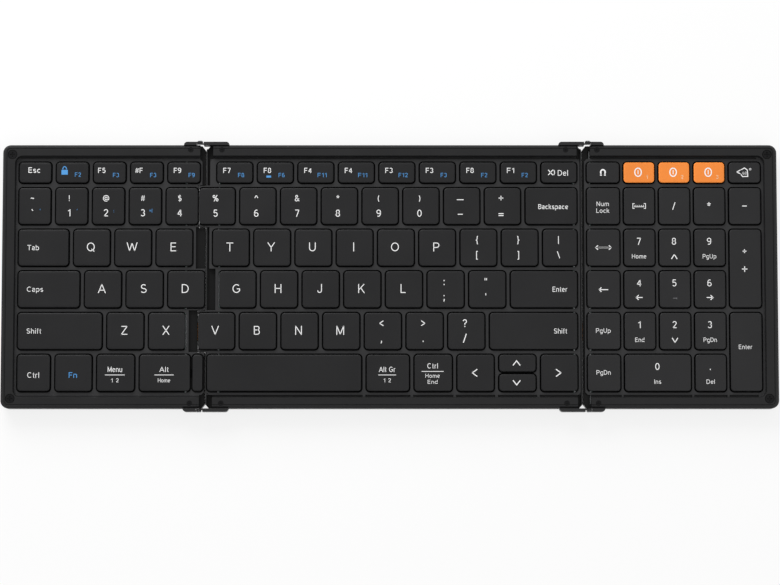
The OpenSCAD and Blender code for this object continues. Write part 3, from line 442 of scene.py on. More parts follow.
class CapMoulder:
    """Finds the keycaps of a CAD node and moulds a softer cap in the place of each."""

    def __init__(self, shape: CapShape) -> None:
        """Takes the sizes that its caps are moulded to."""
        self.shape = shape

    @staticmethod
    def find(node: bpy.types.Object) -> list[Cap]:
        """Splits a CAD node into its loose caps.

        Args:
            node: The imported CAD node.

        Returns:
            One box per cap, from the back row to the front one and from left to right.
        """
        root: dict[tuple[float, ...], tuple[float, ...]] = {}

        def top(key: tuple[float, ...]) -> tuple[float, ...]:
            """Follows a point to the first one of its group."""
            while root[key] != key:
                root[key] = root[root[key]]
                key = root[key]
            return key

        keys = [tuple(round(c, 6) for c in v.co) for v in node.data.vertices]
        for key in keys:
            root[key] = key
        for face in node.data.polygons:
            first = top(keys[face.vertices[0]])
            for other in face.vertices[1:]:
                root[top(keys[other])] = first
        groups: dict[tuple[float, ...], list[tuple[float, ...]]] = {}
        for key in root:
            groups.setdefault(top(key), []).append(key)
        caps = [
            Cap(Vector(map(min, zip(*points))), Vector(map(max, zip(*points))))
            for points in groups.values()
        ]
        return sorted(caps, key=lambda cap: (-round(cap.centre.y, 4), cap.centre.x))

    def _loop(self, cap: Cap, inset: float, z: float, inner: bool = False) -> list[Vector]:
        """One closed outline of a cap at a height, rounded at its corners.

        Args:
            cap: Box of the cap.
            inset: How far inside that box the outline runs, in millimetres.
            z: Its height, in metres.
            inner: Whether it belongs to the hollow.

        Returns:
            Its points, counterclockwise.
        """
        s = self.shape
        if inner:
            radius = 0.3 * MM
        else:
            radius = max(0.3, s.corner_r - inset) * MM
        low_x, low_y = cap.low.x + inset * MM, cap.low.y + inset * MM
        high_x, high_y = cap.high.x - inset * MM, cap.high.y - inset * MM
        corners = [
            (high_x - radius, high_y - radius, 0),
            (low_x + radius, high_y - radius, 90),
            (low_x + radius, low_y + radius, 180),
            (high_x - radius, low_y + radius, 270),
        ]
        outline = []
        for x, y, start in corners:
            for i in range(s.corner_steps + 1):
                turn = math.radians(start + 90 * i / s.corner_steps)
                outline.append(
                    Vector((x + radius * math.cos(turn), y + radius * math.sin(turn), z))
                )
        return outline

    def mould(self, caps: Sequence[Cap], draft: MeshDraft) -> None:
        """Adds each cap to a draft, as one closed shell.

        Args:
            caps: Boxes of the caps.
            draft: Mesh to add them to.
        """
        s = self.shape
        for cap in caps:
            top, bottom = cap.high.z, cap.low.z
            side = s.bevel * MM
            loops = [
                self._loop(cap, s.wall, top - s.top * MM, inner=True),
                self._loop(cap, s.wall, bottom, inner=True),
                self._loop(cap, 0, bottom),
            ]
            for i in range(s.bevel_steps + 1):
                turn = math.radians(90 * i / s.bevel_steps)
                inset = s.bevel * (1 - math.cos(turn))
                z = top - s.rim_drop * MM - side * (1 - math.sin(turn))
                loops.append(self._loop(cap, inset, z))
            loops.append(self._loop(cap, s.dish_inset, top - s.dish * MM))
            count = len(loops[0])
            points = [point for loop in loops for point in loop]
            faces: list[tuple[int, ...]] = []
            for level in range(len(loops) - 1):
                for i in range(count):
                    j = (i + 1) % count
                    low, high = level * count, (level + 1) * count
                    faces.append((low + i, low + j, high + j, high + i))
            last = (len(loops) - 1) * count
            faces.append(tuple(range(last, last + count)))
            faces.append(tuple(reversed(range(count))))
            draft.add(points, faces)


# Centre lines of the characters on a grid on which capitals are 10 high: width, then strokes
# parted by semicolons. "@ cx cy rx ry a b" is an arc from angle a to angle b.
GLYPHS = {
    " ": "3|",
    "A": "8.6|0.3 0 4.3 9.7 8.3 0; 1.7 3.2 6.9 3.2",
    "B": "7|0.7 0.6 0.7 9.4 3.8 9.4 @ 3.8 7.4 2.2 2 90 -90 0.8 5.4; 3.8 5.4 @ 3.9 3 2.5 2.4 90 -90 0.7 0.6",
    "C": "8.2|@ 4.4 5 3.8 4.4 50 310",
    "D": "8|0.7 0.6 0.7 9.4 3.2 9.4 @ 3.2 5 4.2 4.4 90 -90 0.7 0.6",
    "E": "6.6|6.4 0.6 0.7 0.6 0.7 9.4 6.2 9.4; 0.7 5.2 5.8 5.2",
    "F": "6|0.7 0 0.7 9.4 5.9 9.4; 0.7 5 5.3 5",
    "G": "8.8|@ 4.5 5 3.9 4.4 48 325 8 2.6 8 4.7 4.9 4.7",
    "H": "7.8|0.7 0 0.7 10; 7.1 0 7.1 10; 0.7 5.2 7.1 5.2",
    "I": "1.4|0.7 0 0.7 10",
    "J": "5.4|4.7 10 4.7 2.8 @ 2.6 2.8 2.1 2.2 0 -180",
    "K": "7.4|0.7 0 0.7 10; 6.8 10 0.9 3.6; 3 5.7 7.1 0",
    "L": "5.8|0.7 10 0.7 0.6 5.8 0.6",
    "M": "9|0.7 0 0.7 10; 8.3 0 8.3 10; 0.9 9.6 4.5 0.6 8.1 9.6",
    "N": "7.8|0.7 0 0.7 10; 7.1 0 7.1 10; 0.9 9.5 6.9 0.5",
    "O": "9|@ 4.5 5 3.9 4.4 0 360",
    "P": "7|0.7 0 0.7 9.4 3.9 9.4 @ 3.9 6.9 2.6 2.5 90 -90 0.7 4.4",
    "Q": "9|@ 4.5 5 3.9 4.4 0 360; 5.3 2.7 8.4 -0.2",
    "S": "7|@ 3.6 7.2 2.5 2.2 35 270 @ 3.6 2.8 2.9 2.2 90 -150",
    "T": "7.6|3.8 0 3.8 9.4; 0 9.4 7.6 9.4",
    "U": "7.8|0.7 10 0.7 3.7 @ 3.9 3.7 3.2 3.1 180 360 7.1 10",
    "V": "8|0.2 10 4 0.4 7.8 10",
    "W": "11.6|0.2 10 3 0.5 5.8 9.4 8.6 0.5 11.4 10",
    "X": "7.8|0.4 10 7.4 0; 7.4 10 0.4 0",
    "Y": "8|0.2 10 4 4.4 7.8 10; 4 4.6 4 0",
    "Z": "7.4|0.6 9.4 6.9 9.4 0.6 0.6 7.2 0.6",
    "a": "5.8|@ 2.8 5 2.1 1.9 160 0 4.9 0; 4.9 4.1 2.6 3.8 @ 2.5 2.2 1.9 1.6 90 270 @ 2.7 2.7 2.2 2.1 270 350",
    "b": "6.4|0.7 10 0.7 0; @ 3.4 3.6 2.6 3.1 0 360",
    "c": "5.8|@ 3.2 3.6 2.6 3.1 50 310",
    "d": "6.4|5.7 10 5.7 0; @ 3 3.6 2.6 3.1 0 360",
    "e": "6.2|0.7 3.7 5.7 3.7 @ 3.1 3.6 2.6 3.1 0 315",
    "f": "3.6|1.7 0 1.7 8 @ 3.2 8 1.5 1.5 180 95; 0.2 6.6 3.4 6.6",
    "g": "6.4|@ 3 3.6 2.6 3.1 0 360; 5.7 7.1 5.7 -0.4 @ 3.2 -0.4 2.5 2 0 -140",
    "h": "6.2|0.7 10 0.7 0; @ 3.1 4.3 2.4 2.4 160 0 5.5 0",
    "i": "1.4|0.7 7.1 0.7 0; 0.7 10 0.7 8.7",
    "k": "5.6|0.7 10 0.7 0; 5 7.1 0.9 2.8; 2.4 4.2 5.4 0",
    "l": "1.4|0.7 10 0.7 0",
    "m": "9.6|0.7 7.1 0.7 0; @ 2.75 4.6 2.05 2.1 160 0 4.8 0; @ 6.85 4.6 2.05 2.1 160 0 8.9 0",
    "n": "6.2|0.7 7.1 0.7 0; @ 3.1 4.3 2.4 2.4 160 0 5.5 0",
    "o": "6.4|@ 3.2 3.6 2.6 3.1 0 360",
    "p": "6.4|0.7 7.1 0.7 -2.6; @ 3.4 3.6 2.6 3.1 0 360",
    "r": "3.8|0.7 7.1 0.7 0; @ 3.1 4.3 2.4 2.4 160 80",
    "s": "5.4|@ 2.8 5.1 2 1.6 35 270 @ 2.8 2 2.1 1.5 90 -145",
    "t": "3.4|1.6 9 1.6 1.8 @ 2.9 1.8 1.3 1.3 180 280; 0.2 6.6 3.2 6.6",
    "u": "6.2|0.7 7.1 0.7 2.8 @ 3.1 2.9 2.4 2.4 180 340; 5.5 7.1 5.5 0",
    "0": "6.2|@ 3.1 5 2.5 4.4 0 360",
    "1": "3.8|3.1 0 3.1 9.9; 3.1 9.2 2 8.1 0.4 7.5",
    "2": "6.2|@ 3 7.1 2.4 2.3 165 -35 0.8 0.6 5.8 0.6",
    "3": "6.2|@ 3 7.2 2.2 2.2 150 -90 @ 3 2.8 2.5 2.2 90 -155",
    "4": "6.4|4.6 0 4.6 9.4 0.4 2.9 6.2 2.9",
    "5": "6.2|5.3 9.4 1.5 9.4 1 5.2 @ 3.1 3.3 2.5 2.7 130 -150",
    "6": "6.4|@ 3.2 3.1 2.5 2.5 0 360; @ 3.4 5 2.7 4.4 60 190",
    "7": "6|0.4 9.4 5.6 9.4 2.2 0",
    "8": "6.2|@ 3.1 7.2 2.1 2.2 0 360; @ 3.1 2.8 2.5 2.2 0 360",
    "9": "6.4|@ 3.2 6.9 2.5 2.5 0 360; @ 3 5 2.7 4.4 10 -120",
    "~": "6|0.5 4.2 1.3 5.4 2.3 5.4 3.7 4.3 4.7 4.3 5.5 5.5",
    "`": "2.4|0.4 9.9 2.1 7.7",
    "!": "1.4|0.7 10 0.7 3; 0.7 1.4 0.7 0",
    "@": "10.6|@ 5.3 4.8 4.7 4.9 300 -20 @ 8.5 3.3 1.2 1.2 -20 -180; @ 5 4.7 1.9 2.3 0 360; 7.2 7 7.2 3",
    "#": "6.6|2.4 9.6 1.2 0.4; 5.4 9.6 4.2 0.4; 0.5 6.6 6.5 6.6; 0.1 3.4 6.1 3.4",
    "$": "6|@ 3 7.1 2.2 2 35 270 @ 3 2.9 2.4 2.2 90 -150; 3 10.8 3 -0.8",
    "%": "9|@ 2.1 7.6 1.5 1.9 0 360; @ 6.9 2.4 1.5 1.9 0 360; 6.9 10 2.1 0",
    "^": "6|0.5 5.2 3 9.6 5.5 5.2",
    "&": "7.4|7 0.2 1.7 6.7 @ 3 8 1.5 1.5 210 -60 1.3 3.7 @ 2.8 2.4 2.1 1.9 150 320 6.6 4.6",
    "*": "4.6|2.3 7.2 2.3 9.6; 2.3 7.2 4.5 8; 2.3 7.2 0.1 8; 2.3 7.2 1 5.3; 2.3 7.2 3.6 5.3",
    "(": "3|@ 4.3 4.4 3.6 6.2 130 230",
    ")": "3|@ -1.3 4.4 3.6 6.2 50 -50",
    "{": "3.6|3.2 10.4 2.2 9.8 2 5.6 0.6 4.3 2 3 2.2 -1.2 3.2 -1.8",
    "}": "3.6|0.4 10.4 1.4 9.8 1.6 5.6 3 4.3 1.6 3 1.4 -1.2 0.4 -1.8",
    "[": "3|2.8 10.2 0.8 10.2 0.8 -1.8 2.8 -1.8",
    "]": "3|0.2 10.2 2.2 10.2 2.2 -1.8 0.2 -1.8",
    "|": "1.4|0.7 10.5 0.7 -1.5",
    "\\": "4.4|0.4 10.4 4 -0.4",
    "/": "4.4|0.4 -0.4 4 10.4",
    ":": "1.4|0.7 6.9 0.7 5.3; 0.7 1.6 0.7 0",
    ";": "1.6|0.7 6.9 0.7 5.3; 0.9 1.6 0.9 0 0.3 -1.8",
    '"': "3.8|0.7 10 0.7 6.6; 3.1 10 3.1 6.6",
    "'": "1.4|0.7 10 0.7 6.6",
    "<": "6.4|5.8 8.2 0.8 4.8 5.8 1.4",
    ">": "6.4|0.6 8.2 5.6 4.8 0.6 1.4",
    ",": "1.6|0.9 1.6 0.9 0 0.3 -1.8",
    ".": "1.4|0.7 1.7 0.7 0",
    "=": "6|0.4 6.4 5.6 6.4; 0.4 3.6 5.6 3.6",
    "?": "5.8|@ 2.9 7.2 2.2 2.2 170 -50 2.9 4.4 2.9 2.9; 2.9 1.4 2.9 0",
}


class Lettering:
    """Turns words into centre lines of a stated cap height."""

    CAPITAL = 10.0
    TRACKING = 1.6
    ARC_STEP = 15

    @classmethod
    def _route(cls, text: str) -> list[Point]:
        """Reads one stroke of a character.

        Args:
            text: Its points and arcs.

        Returns:
            Its points on the grid.
        """
        tokens = iter(text.split())
        route: list[Point] = []
        for token in tokens:
            if token != "@":
                route.append((float(token), float(next(tokens))))
                continue
            x, y, rx, ry, first, last = (float(next(tokens)) for _ in range(6))
            steps = max(2, round(abs(last - first) / cls.ARC_STEP))
            for i in range(steps + 1):
                turn = math.radians(first + (last - first) * i / steps)
                route.append((x + rx * math.cos(turn), y + ry * math.sin(turn)))
        return route

    @classmethod
    def routes(
        cls, text: str, height: float, align: Align, span: float | None
    ) -> list[list[Point]]:
        """Lays out a word.

        Args:
            text: The word.
            height: Height of its capitals, in millimetres.
            align: Which part of it stands at X 0.
            span: Width of the whole word, or None for its own width.

        Returns:
            Its strokes in millimetres, with the middle of the capitals at Y 0.
        """
        at = 0.0
        strokes: list[list[Point]] = []
        for character in text:
            width, _, body = GLYPHS[character].partition("|")
            for part in body.split(";"):
                route = cls._route(part)
                if route:
                    strokes.append([(x + at, y) for x, y in route])
            at += float(width) + cls.TRACKING
        length = at - cls.TRACKING
        scale = height / cls.CAPITAL
        wide = span / length if span else scale
        origin = {Align.LEFT: 0.0, Align.CENTRE: length / 2, Align.RIGHT: length}[align]
        middle = cls.CAPITAL / 2
        return [[((x - origin) * wide, (y - middle) * scale) for x, y in r] for r in strokes]


class Stylus:
    """Prints marks on one cap. Places are in millimetres from the middle of its top."""

    INK_LIFT_MM = -0.005
    SAME = 1e-6
    SHARP = -0.3
    INKS = list(Ink)

    def __init__(self, cap: Cap, draft: MeshDraft) -> None:
        """Takes the cap to print on and the mesh that the ink goes to."""
        self.cap = cap
        self.draft = draft

    @property
    def half_width(self) -> float:
        """Half the width of the cap, in millimetres."""
        return (self.cap.high.x - self.cap.low.x) / 2 / MM

    def _print(self, points: Iterable[Point], faces: Iterable[Sequence[int]], ink: Ink) -> None:
        """Adds flat ink to the draft.

        Args:
            points: Its corners.
            faces: Its faces, by corner.
            ink: Its ink.
        """
        centre = self.cap.centre
        z = self.cap.high.z + self.INK_LIFT_MM * MM
        placed = [Vector((centre.x + x * MM, centre.y + y * MM, z)) for x, y in points]
        self.draft.add(placed, faces, self.INKS.index(ink))

    def word(
        self,
        text: str,
        at: Point,
        height: float,
        ink: Ink = Ink.WHITE,
        align: Align = Align.CENTRE,
        span: float | None = None,
        weight: float = 0.11,
    ) -> None:
        """Prints a word.

        Args:
            text: The word.
            at: Place of the middle of its capitals.
            height: Height of its capitals.
            ink: Its ink.
            align: Which part of it stands at that place.
            span: Width of the whole word, or None for its own width.
            weight: Width of its strokes, as a share of the height.
        """
        for route in Lettering.routes(text, height, align, span):
            self.stroke([(x + at[0], y + at[1]) for x, y in route], weight * height, ink)

    def stroke(self, route: Sequence[Point], width: float, ink: Ink = Ink.WHITE) -> None:
        """Prints a line with square ends and mitred bends through the points of a route.

        A bend that is too sharp for a mitre parts the line in two.

        Args:
            route: Its points.
            width: Its width.
            ink: Its ink.
        """
        legs = [(a, b) for a, b in zip(route, route[1:]) if math.dist(a, b) > self.SAME]
        sides = [
            ((b[1] - a[1]) / math.dist(a, b), (a[0] - b[0]) / math.dist(a, b)) for a, b in legs
        ]
        for i in range(1, len(legs)):
            if sides[i - 1][0] * sides[i][0] + sides[i - 1][1] * sides[i][1] < self.SHARP:
                self.stroke([legs[0][0], *[b for _, b in legs[:i]]], width, ink)
                self.stroke([legs[i][0], *[b for _, b in legs[i:]]], width, ink)
                return
        closed = math.dist(legs[0][0], legs[-1][1]) < self.SAME
        before = [sides[-1] if closed else sides[0], *sides]
        after = [*sides, sides[0] if closed else sides[-1]]
        spots = [legs[0][0], *[b for _, b in legs]]
        points: list[Point] = []
        for (x, y), (px, py), (qx, qy) in zip(spots, before, after):
            share = width / 2 / (1 + px * qx + py * qy)
            nx, ny = (px + qx) * share, (py + qy) * share
            points += [(x + nx, y + ny), (x - nx, y - ny)]
        faces = [(2 * i, 2 * i + 2, 2 * i + 3, 2 * i + 1) for i in range(len(legs))]
        self._print(points, faces, ink)

    def ring(
        self,
        at: Point,
        radii: Point,
        width: float,
        ink: Ink = Ink.WHITE,
        arc: Point = (0, 360),
    ) -> None:
        """Prints a round or oval ring, or a part of one.

        Args:
            at: Its middle.
            radii: Its outer radii along X and Y.
            width: Width of its band.
            ink: Its ink.
            arc: First and last angle, in degrees.
        """
        steps = max(6, round(abs(arc[1] - arc[0]) / 15))
        points: list[Point] = []
        for i in range(steps + 1):
            turn = math.radians(arc[0] + (arc[1] - arc[0]) * i / steps)
            for reach in (0.0, width):
                points.append(
                    (
                        at[0] + (radii[0] - reach) * math.cos(turn),
                        at[1] + (radii[1] - reach) * math.sin(turn),
                    )
                )
        faces = [(2 * i, 2 * i + 2, 2 * i + 3, 2 * i + 1) for i in range(steps)]
        self._print(points, faces, ink)

    def block(self, at: Point, size: Point, ink: Ink = Ink.WHITE) -> None:
        """Prints a filled rectangle.

        Args:
            at: Its middle.
            size: Its width and depth.
            ink: Its ink.
        """
        x, y = size[0] / 2, size[1] / 2
        corners = [(at[0] + i * x, at[1] + j * y) for i, j in ((-1, -1), (1, -1), (1, 1), (-1, 1))]
        self._print(corners, [(0, 1, 2, 3)], ink)

    def arrow(self, at: Point, length: float, head: float, way: int, width: float = 0.4) -> None:
        """Prints a level arrow.

        Args:
            at: Its middle.
            length: Its length.
            head: Half the depth of its head.
            way: -1 for an arrow to the left, 1 for one to the right.
            width: Width of its lines.
        """
        tip = at[0] + way * length / 2
        self.stroke([(at[0] - way * length / 2, at[1]), (tip, at[1])], width)
        self.stroke(
            [(tip - way * head, at[1] + head), (tip, at[1]), (tip - way * head, at[1] - head)],
            width,
        )

    def chevron(self, at: Point, size: Point, degrees: float, width: float = 0.42) -> None:
        """Prints an open arrow head.

        Args:
            at: Its middle.
            size: Its length along the way it points, and its breadth across.
            degrees: The way it points, from +X.
            width: Width of its lines.
        """
        c, s = math.cos(math.radians(degrees)), math.sin(math.radians(degrees))
        long, half = size[0] / 2, size[1] / 2
        route = [(-long, half), (long, 0.0), (-long, -half)]
        self.stroke([(at[0] + x * c - y * s, at[1] + x * s + y * c) for x, y in route], width)


Print = Callable[[Stylus], None]


def letter(text: str) -> Print:
    """A single large letter in the middle of its cap."""
    return lambda pen: pen.word(text, (-0.45, 0.3), 4.1, weight=0.09)


def two_level(upper: str, lower: str, upper_h: float = 2.9, lower_h: float = 3.3) -> Print:
    """A digit or sign with its shifted sign above it.

    Args:
        upper: Sign at the back.
        lower: Sign at the front.
        upper_h: Height of the sign at the back.
        lower_h: Height of the sign at the front.

    Returns:
        The function that prints it.
    """

    def draw(pen: Stylus) -> None:
        """Prints this legend."""
        pen.word(upper, (-0.7, 3.6), upper_h)
        pen.word(lower, (-0.7, -3.3), lower_h)

    return draw


def digit(upper: str, lower: str, extra: str = "") -> Print:
    """A digit key of the left panel, with a small blue sign beside it.

    Args:
        upper: Its shifted sign.
        lower: Its digit.
        extra: The blue sign, if any.

    Returns:
        The function that prints it.
    """

    def draw(pen: Stylus) -> None:
        """Prints this legend."""
        pen.word(upper, (-1.1, 3.6), 2.7)
        pen.word(lower, (-1.1, -3.1), 3.3)
        if extra:
            pen.word(extra, (2.5, -2.1), 1.5, Ink.BLUE)

    return draw


def function(main: str, second: str, shift: float = -3.6) -> Print:
    """A key of the back row, with a blue second function.

    Args:
        main: Its white word.
        second: Its blue word.
        shift: Place of the white word along X.

    Returns:
        The function that prints it.
    """

    def draw(pen: Stylus) -> None:
        """Prints this legend."""
        pen.word(main, (shift, 0.95), 2.35, span=3.4, weight=0.13)
        pen.word(second, (shift + 6.5, -1.2), 1.95, Ink.BLUE, span=1.45 * len(second) - 0.1)

    return draw


def side_word(text: str, align: Align, span: float, inset: float = 4.0) -> Print:
    """A word at one end of a wide cap.

    Args:
        text: The word.
        align: The end that it stands at.
        span: Its width.
        inset: Its distance from that end.

    Returns:
        The function that prints it.
    """

    def draw(pen: Stylus) -> None:
        """Prints this legend."""
        way = -1 if align is Align.LEFT else 1
        pen.word(text, (way * (pen.half_width - inset), 0), 2.35, align=align, span=span)

    return draw


def over_line(
    upper: str, span: float, lower: Sequence[tuple[str, float]], line: float, raised: float = 0.0
) -> Print:
    """A word over a line, with one or two smaller words under it.

    Args:
        upper: The word over the line.
        span: Its width.
        lower: Each smaller word with its width.
        line: Length of the line.
        raised: How far the legend stands behind the middle.

    Returns:
        The function that prints it.
    """

    def draw(pen: Stylus) -> None:
        """Prints this legend."""
        pen.word(upper, (-0.3, 1.6 + raised), 2.4, span=span)
        pen.block((-0.3, -0.95 + raised), (line, 0.28))
        for i, (text, width) in enumerate(lower):
            pen.word(text, (-0.3, -3.4 + 1.3 * raised - 2.75 * i), 1.8, span=width)

    return draw


def small_word(text: str, span: float, at: Point = (-0.3, 0.2)) -> Print:
    """A small word on a cap of the number pad."""
    return lambda pen: pen.word(text, at, 2.05, span=span)


def pad(text: str, word: str, span: float) -> Print:
    """A digit of the number pad with a small word under it.

    Args:
        text: The digit.
        word: The word.
        span: Width of the word.

    Returns:
        The function that prints it.
    """

    def draw(pen: Stylus) -> None:
        """Prints this legend."""
        pen.word(text, (-0.3, 2.9), 3.2)
        pen.word(word, (-0.2, -4.0), 2.0, span=span)

    return draw


def pad_chevron(text: str, degrees: float) -> Print:
    """A digit of the number pad with an open arrow head under it.

    Args:
        text: The digit.
        degrees: The way the head points, from +X.

    Returns:
        The function that prints it.
    """

    def draw(pen: Stylus) -> None:
        """Prints this legend."""
        pen.word(text, (-0.3, 2.9), 3.2)
        pen.chevron((-0.2, -4.2), (2.1, 2.6), degrees)

    return draw


def pad_arrow(text: str, way: int) -> Print:
    """A digit of the number pad with a short arrow under it.

    Args:
        text: The digit.
        way: -1 for an arrow to the left, 1 for one to the right.

    Returns:
        The function that prints it.
    """

    def draw(pen: Stylus) -> None:
        """Prints this legend."""
        pen.word(text, (-0.3, 2.9), 3.2)
        pen.arrow((-0.2, -3.8), 2.9, 1.1, way)

    return draw


def padlock(pen: Stylus) -> None:
    """A closed blue padlock beside a blue second function.

    Args:
        pen: Stylus on the cap.
    """
    pen.block((-3.6, 0.1), (2.9, 2.2), Ink.BLUE)
    pen.ring((-3.6, 1.4), (1.05, 1.5), 0.4, Ink.BLUE, (0, 180))
    pen.word("F2", (2.5, -1.0), 1.95, Ink.BLUE, span=2.8)


def cluster_lock(pen: Stylus) -> None:
    """An open padlock drawn as a ring on two feet.

    Args:
        pen: Stylus on the cap.
    """
    pen.ring((0, 0.1), (1.35, 1.5), 0.65, arc=(-40, 220))
    pen.block((-0.9, -1.2), (0.85, 0.5))
    pen.block((0.9, -1.2), (0.85, 0.5))


def channel(number: str) -> Print:
    """A ring with a bar in it, and the number of the channel.

    Args:
        number: That number.

    Returns:
        The function that prints it.
    """

    def draw(pen: Stylus) -> None:
        """Prints this legend."""
        pen.ring((-0.4, 0.1), (1.75, 2.15), 0.5)
        pen.block((-0.4, 0.1), (0.4, 1.9))
        pen.word(number, (3.7, -2.1), 1.8, Ink.PALE_ORANGE, weight=0.14)

    return draw


def mute_and_delete(pen: Stylus) -> None:
    """A crossed sound sign beside the delete word.

    Args:
        pen: Stylus on the cap.
    """
    pen.stroke([(-4.9, 1.2), (-2.8, -1.2)], 0.4)
    pen.stroke([(-4.9, -1.2), (-2.8, 1.2)], 0.4)
    pen.ring((-3.3, 0.0), (1.5, 1.7), 0.35, arc=(-50, 50))
    pen.word("Del", (1.8, -0.2), 2.6, span=4.7)


def second_eight(pen: Stylus) -> None:
    """A function key with a small blue bar between its two functions."""
    function("F8", "F6")(pen)
    pen.block((-3.0, -1.9), (2.1, 0.9), Ink.BLUE)


def wide_dash(pen: Stylus) -> None:
    """The underscore above the minus sign."""
    pen.block((-0.7, 2.9), (3.1, 0.35))
    pen.block((-0.7, -3.8), (2.3, 0.35))


def equals(pen: Stylus) -> None:
    """The plus sign above the equals sign.

    Args:
        pen: Stylus on the cap.
    """
    pen.block((-0.7, 3.65), (2.1, 0.36))
    pen.block((-0.7, 3.65), (0.36, 2.1))
    pen.block((-0.7, -3.5), (2.3, 0.4))
    pen.block((-0.7, -4.4), (2.3, 0.4))


def measure(pen: Stylus) -> None:
    """A row of short ticks between two square brackets.

    Args:
        pen: Stylus on the cap.
    """
    for way in (-1, 1):
        pen.stroke([(way * 2.1, 1.1), (way * 2.9, 1.1), (way * 2.9, -1.1), (way * 2.1, -1.1)], 0.3)
    pen.block((0, -0.35), (4.6, 0.3))
    for i in range(5):
        pen.block((-1.9 + 0.95 * i, 0.05), (0.25, 0.8))


def double_arrow(pen: Stylus) -> None:
    """A long arrow with a head at each end.

    Args:
        pen: Stylus on the cap.
    """
    pen.block((0, 0), (5.6, 0.6))
    pen.arrow((0, 0), 7.0, 1.0, 1)
    pen.arrow((0, 0), 7.0, 1.0, -1)


def tag(pen: Stylus) -> None:
    """A pointed tag with two digits on it and a small ring beside it.

    Args:
        pen: Stylus on the cap.
    """
    pen.stroke([(-1.6, 1.3), (-3.6, 0.2), (-1.6, -0.7)], 0.4)
    pen.stroke([(-1.8, 1.1), (0.0, 2.1), (1.3, 1.1), (1.5, -1.8), (-0.9, -1.9), (-1.9, -0.5)], 0.4)
    pen.word("68", (0.0, -0.3), 1.3)
    pen.ring((2.6, 1.5), (0.5, 0.5), 0.2)


def crossed(size: float) -> Print:
    """A plus sign on the number pad.

    Args:
        size: Its size, as a share of the usual one.

    Returns:
        The function that prints it.
    """

    def draw(pen: Stylus) -> None:
        """Prints this legend."""
        for y, reach in ((7.9, 0.7 * size), (-0.3, size)):
            pen.block((-0.4, y), (2.5 * reach, 0.4))
            pen.block((-0.4, y), (0.4, 2.5 * reach))

    return draw


def level_bar(pen: Stylus) -> None:
    """The minus sign of the number pad."""
    pen.block((-0.2, 0), (2.1, 0.4))


def number_lock(pen: Stylus) -> None:
    """The two words of the number lock."""
    pen.word("Num", (-0.2, 1.0), 2.05, span=5.7)
    pen.word("Lock", (-0.2, -2.1), 2.05, span=5.9)


def five(pen: Stylus) -> None:
    """The pad's five, with a faint short bar under it.

    Args:
        pen: Stylus on the cap.
    """
    pen.word("5", (-0.3, 2.9), 3.2)
    pen.block((-0.2, -4.1), (1.5, 0.25), Ink.FAINT)
    pen.block((0.75, -4.2), (0.25, 0.8), Ink.FAINT)


def open_head(size: Point, degrees: float) -> Print:
    """An open arrow head alone on its cap."""
    return lambda pen: pen.chevron((-0.4, 0), size, degrees, 0.45)


def blank(pen: Stylus) -> None:
    """No legend."""


def sign(text: str, height: float) -> Print:
    """One sign in the middle of a cap of the number pad."""
    return lambda pen: pen.word(text, (-0.2, 0), height)


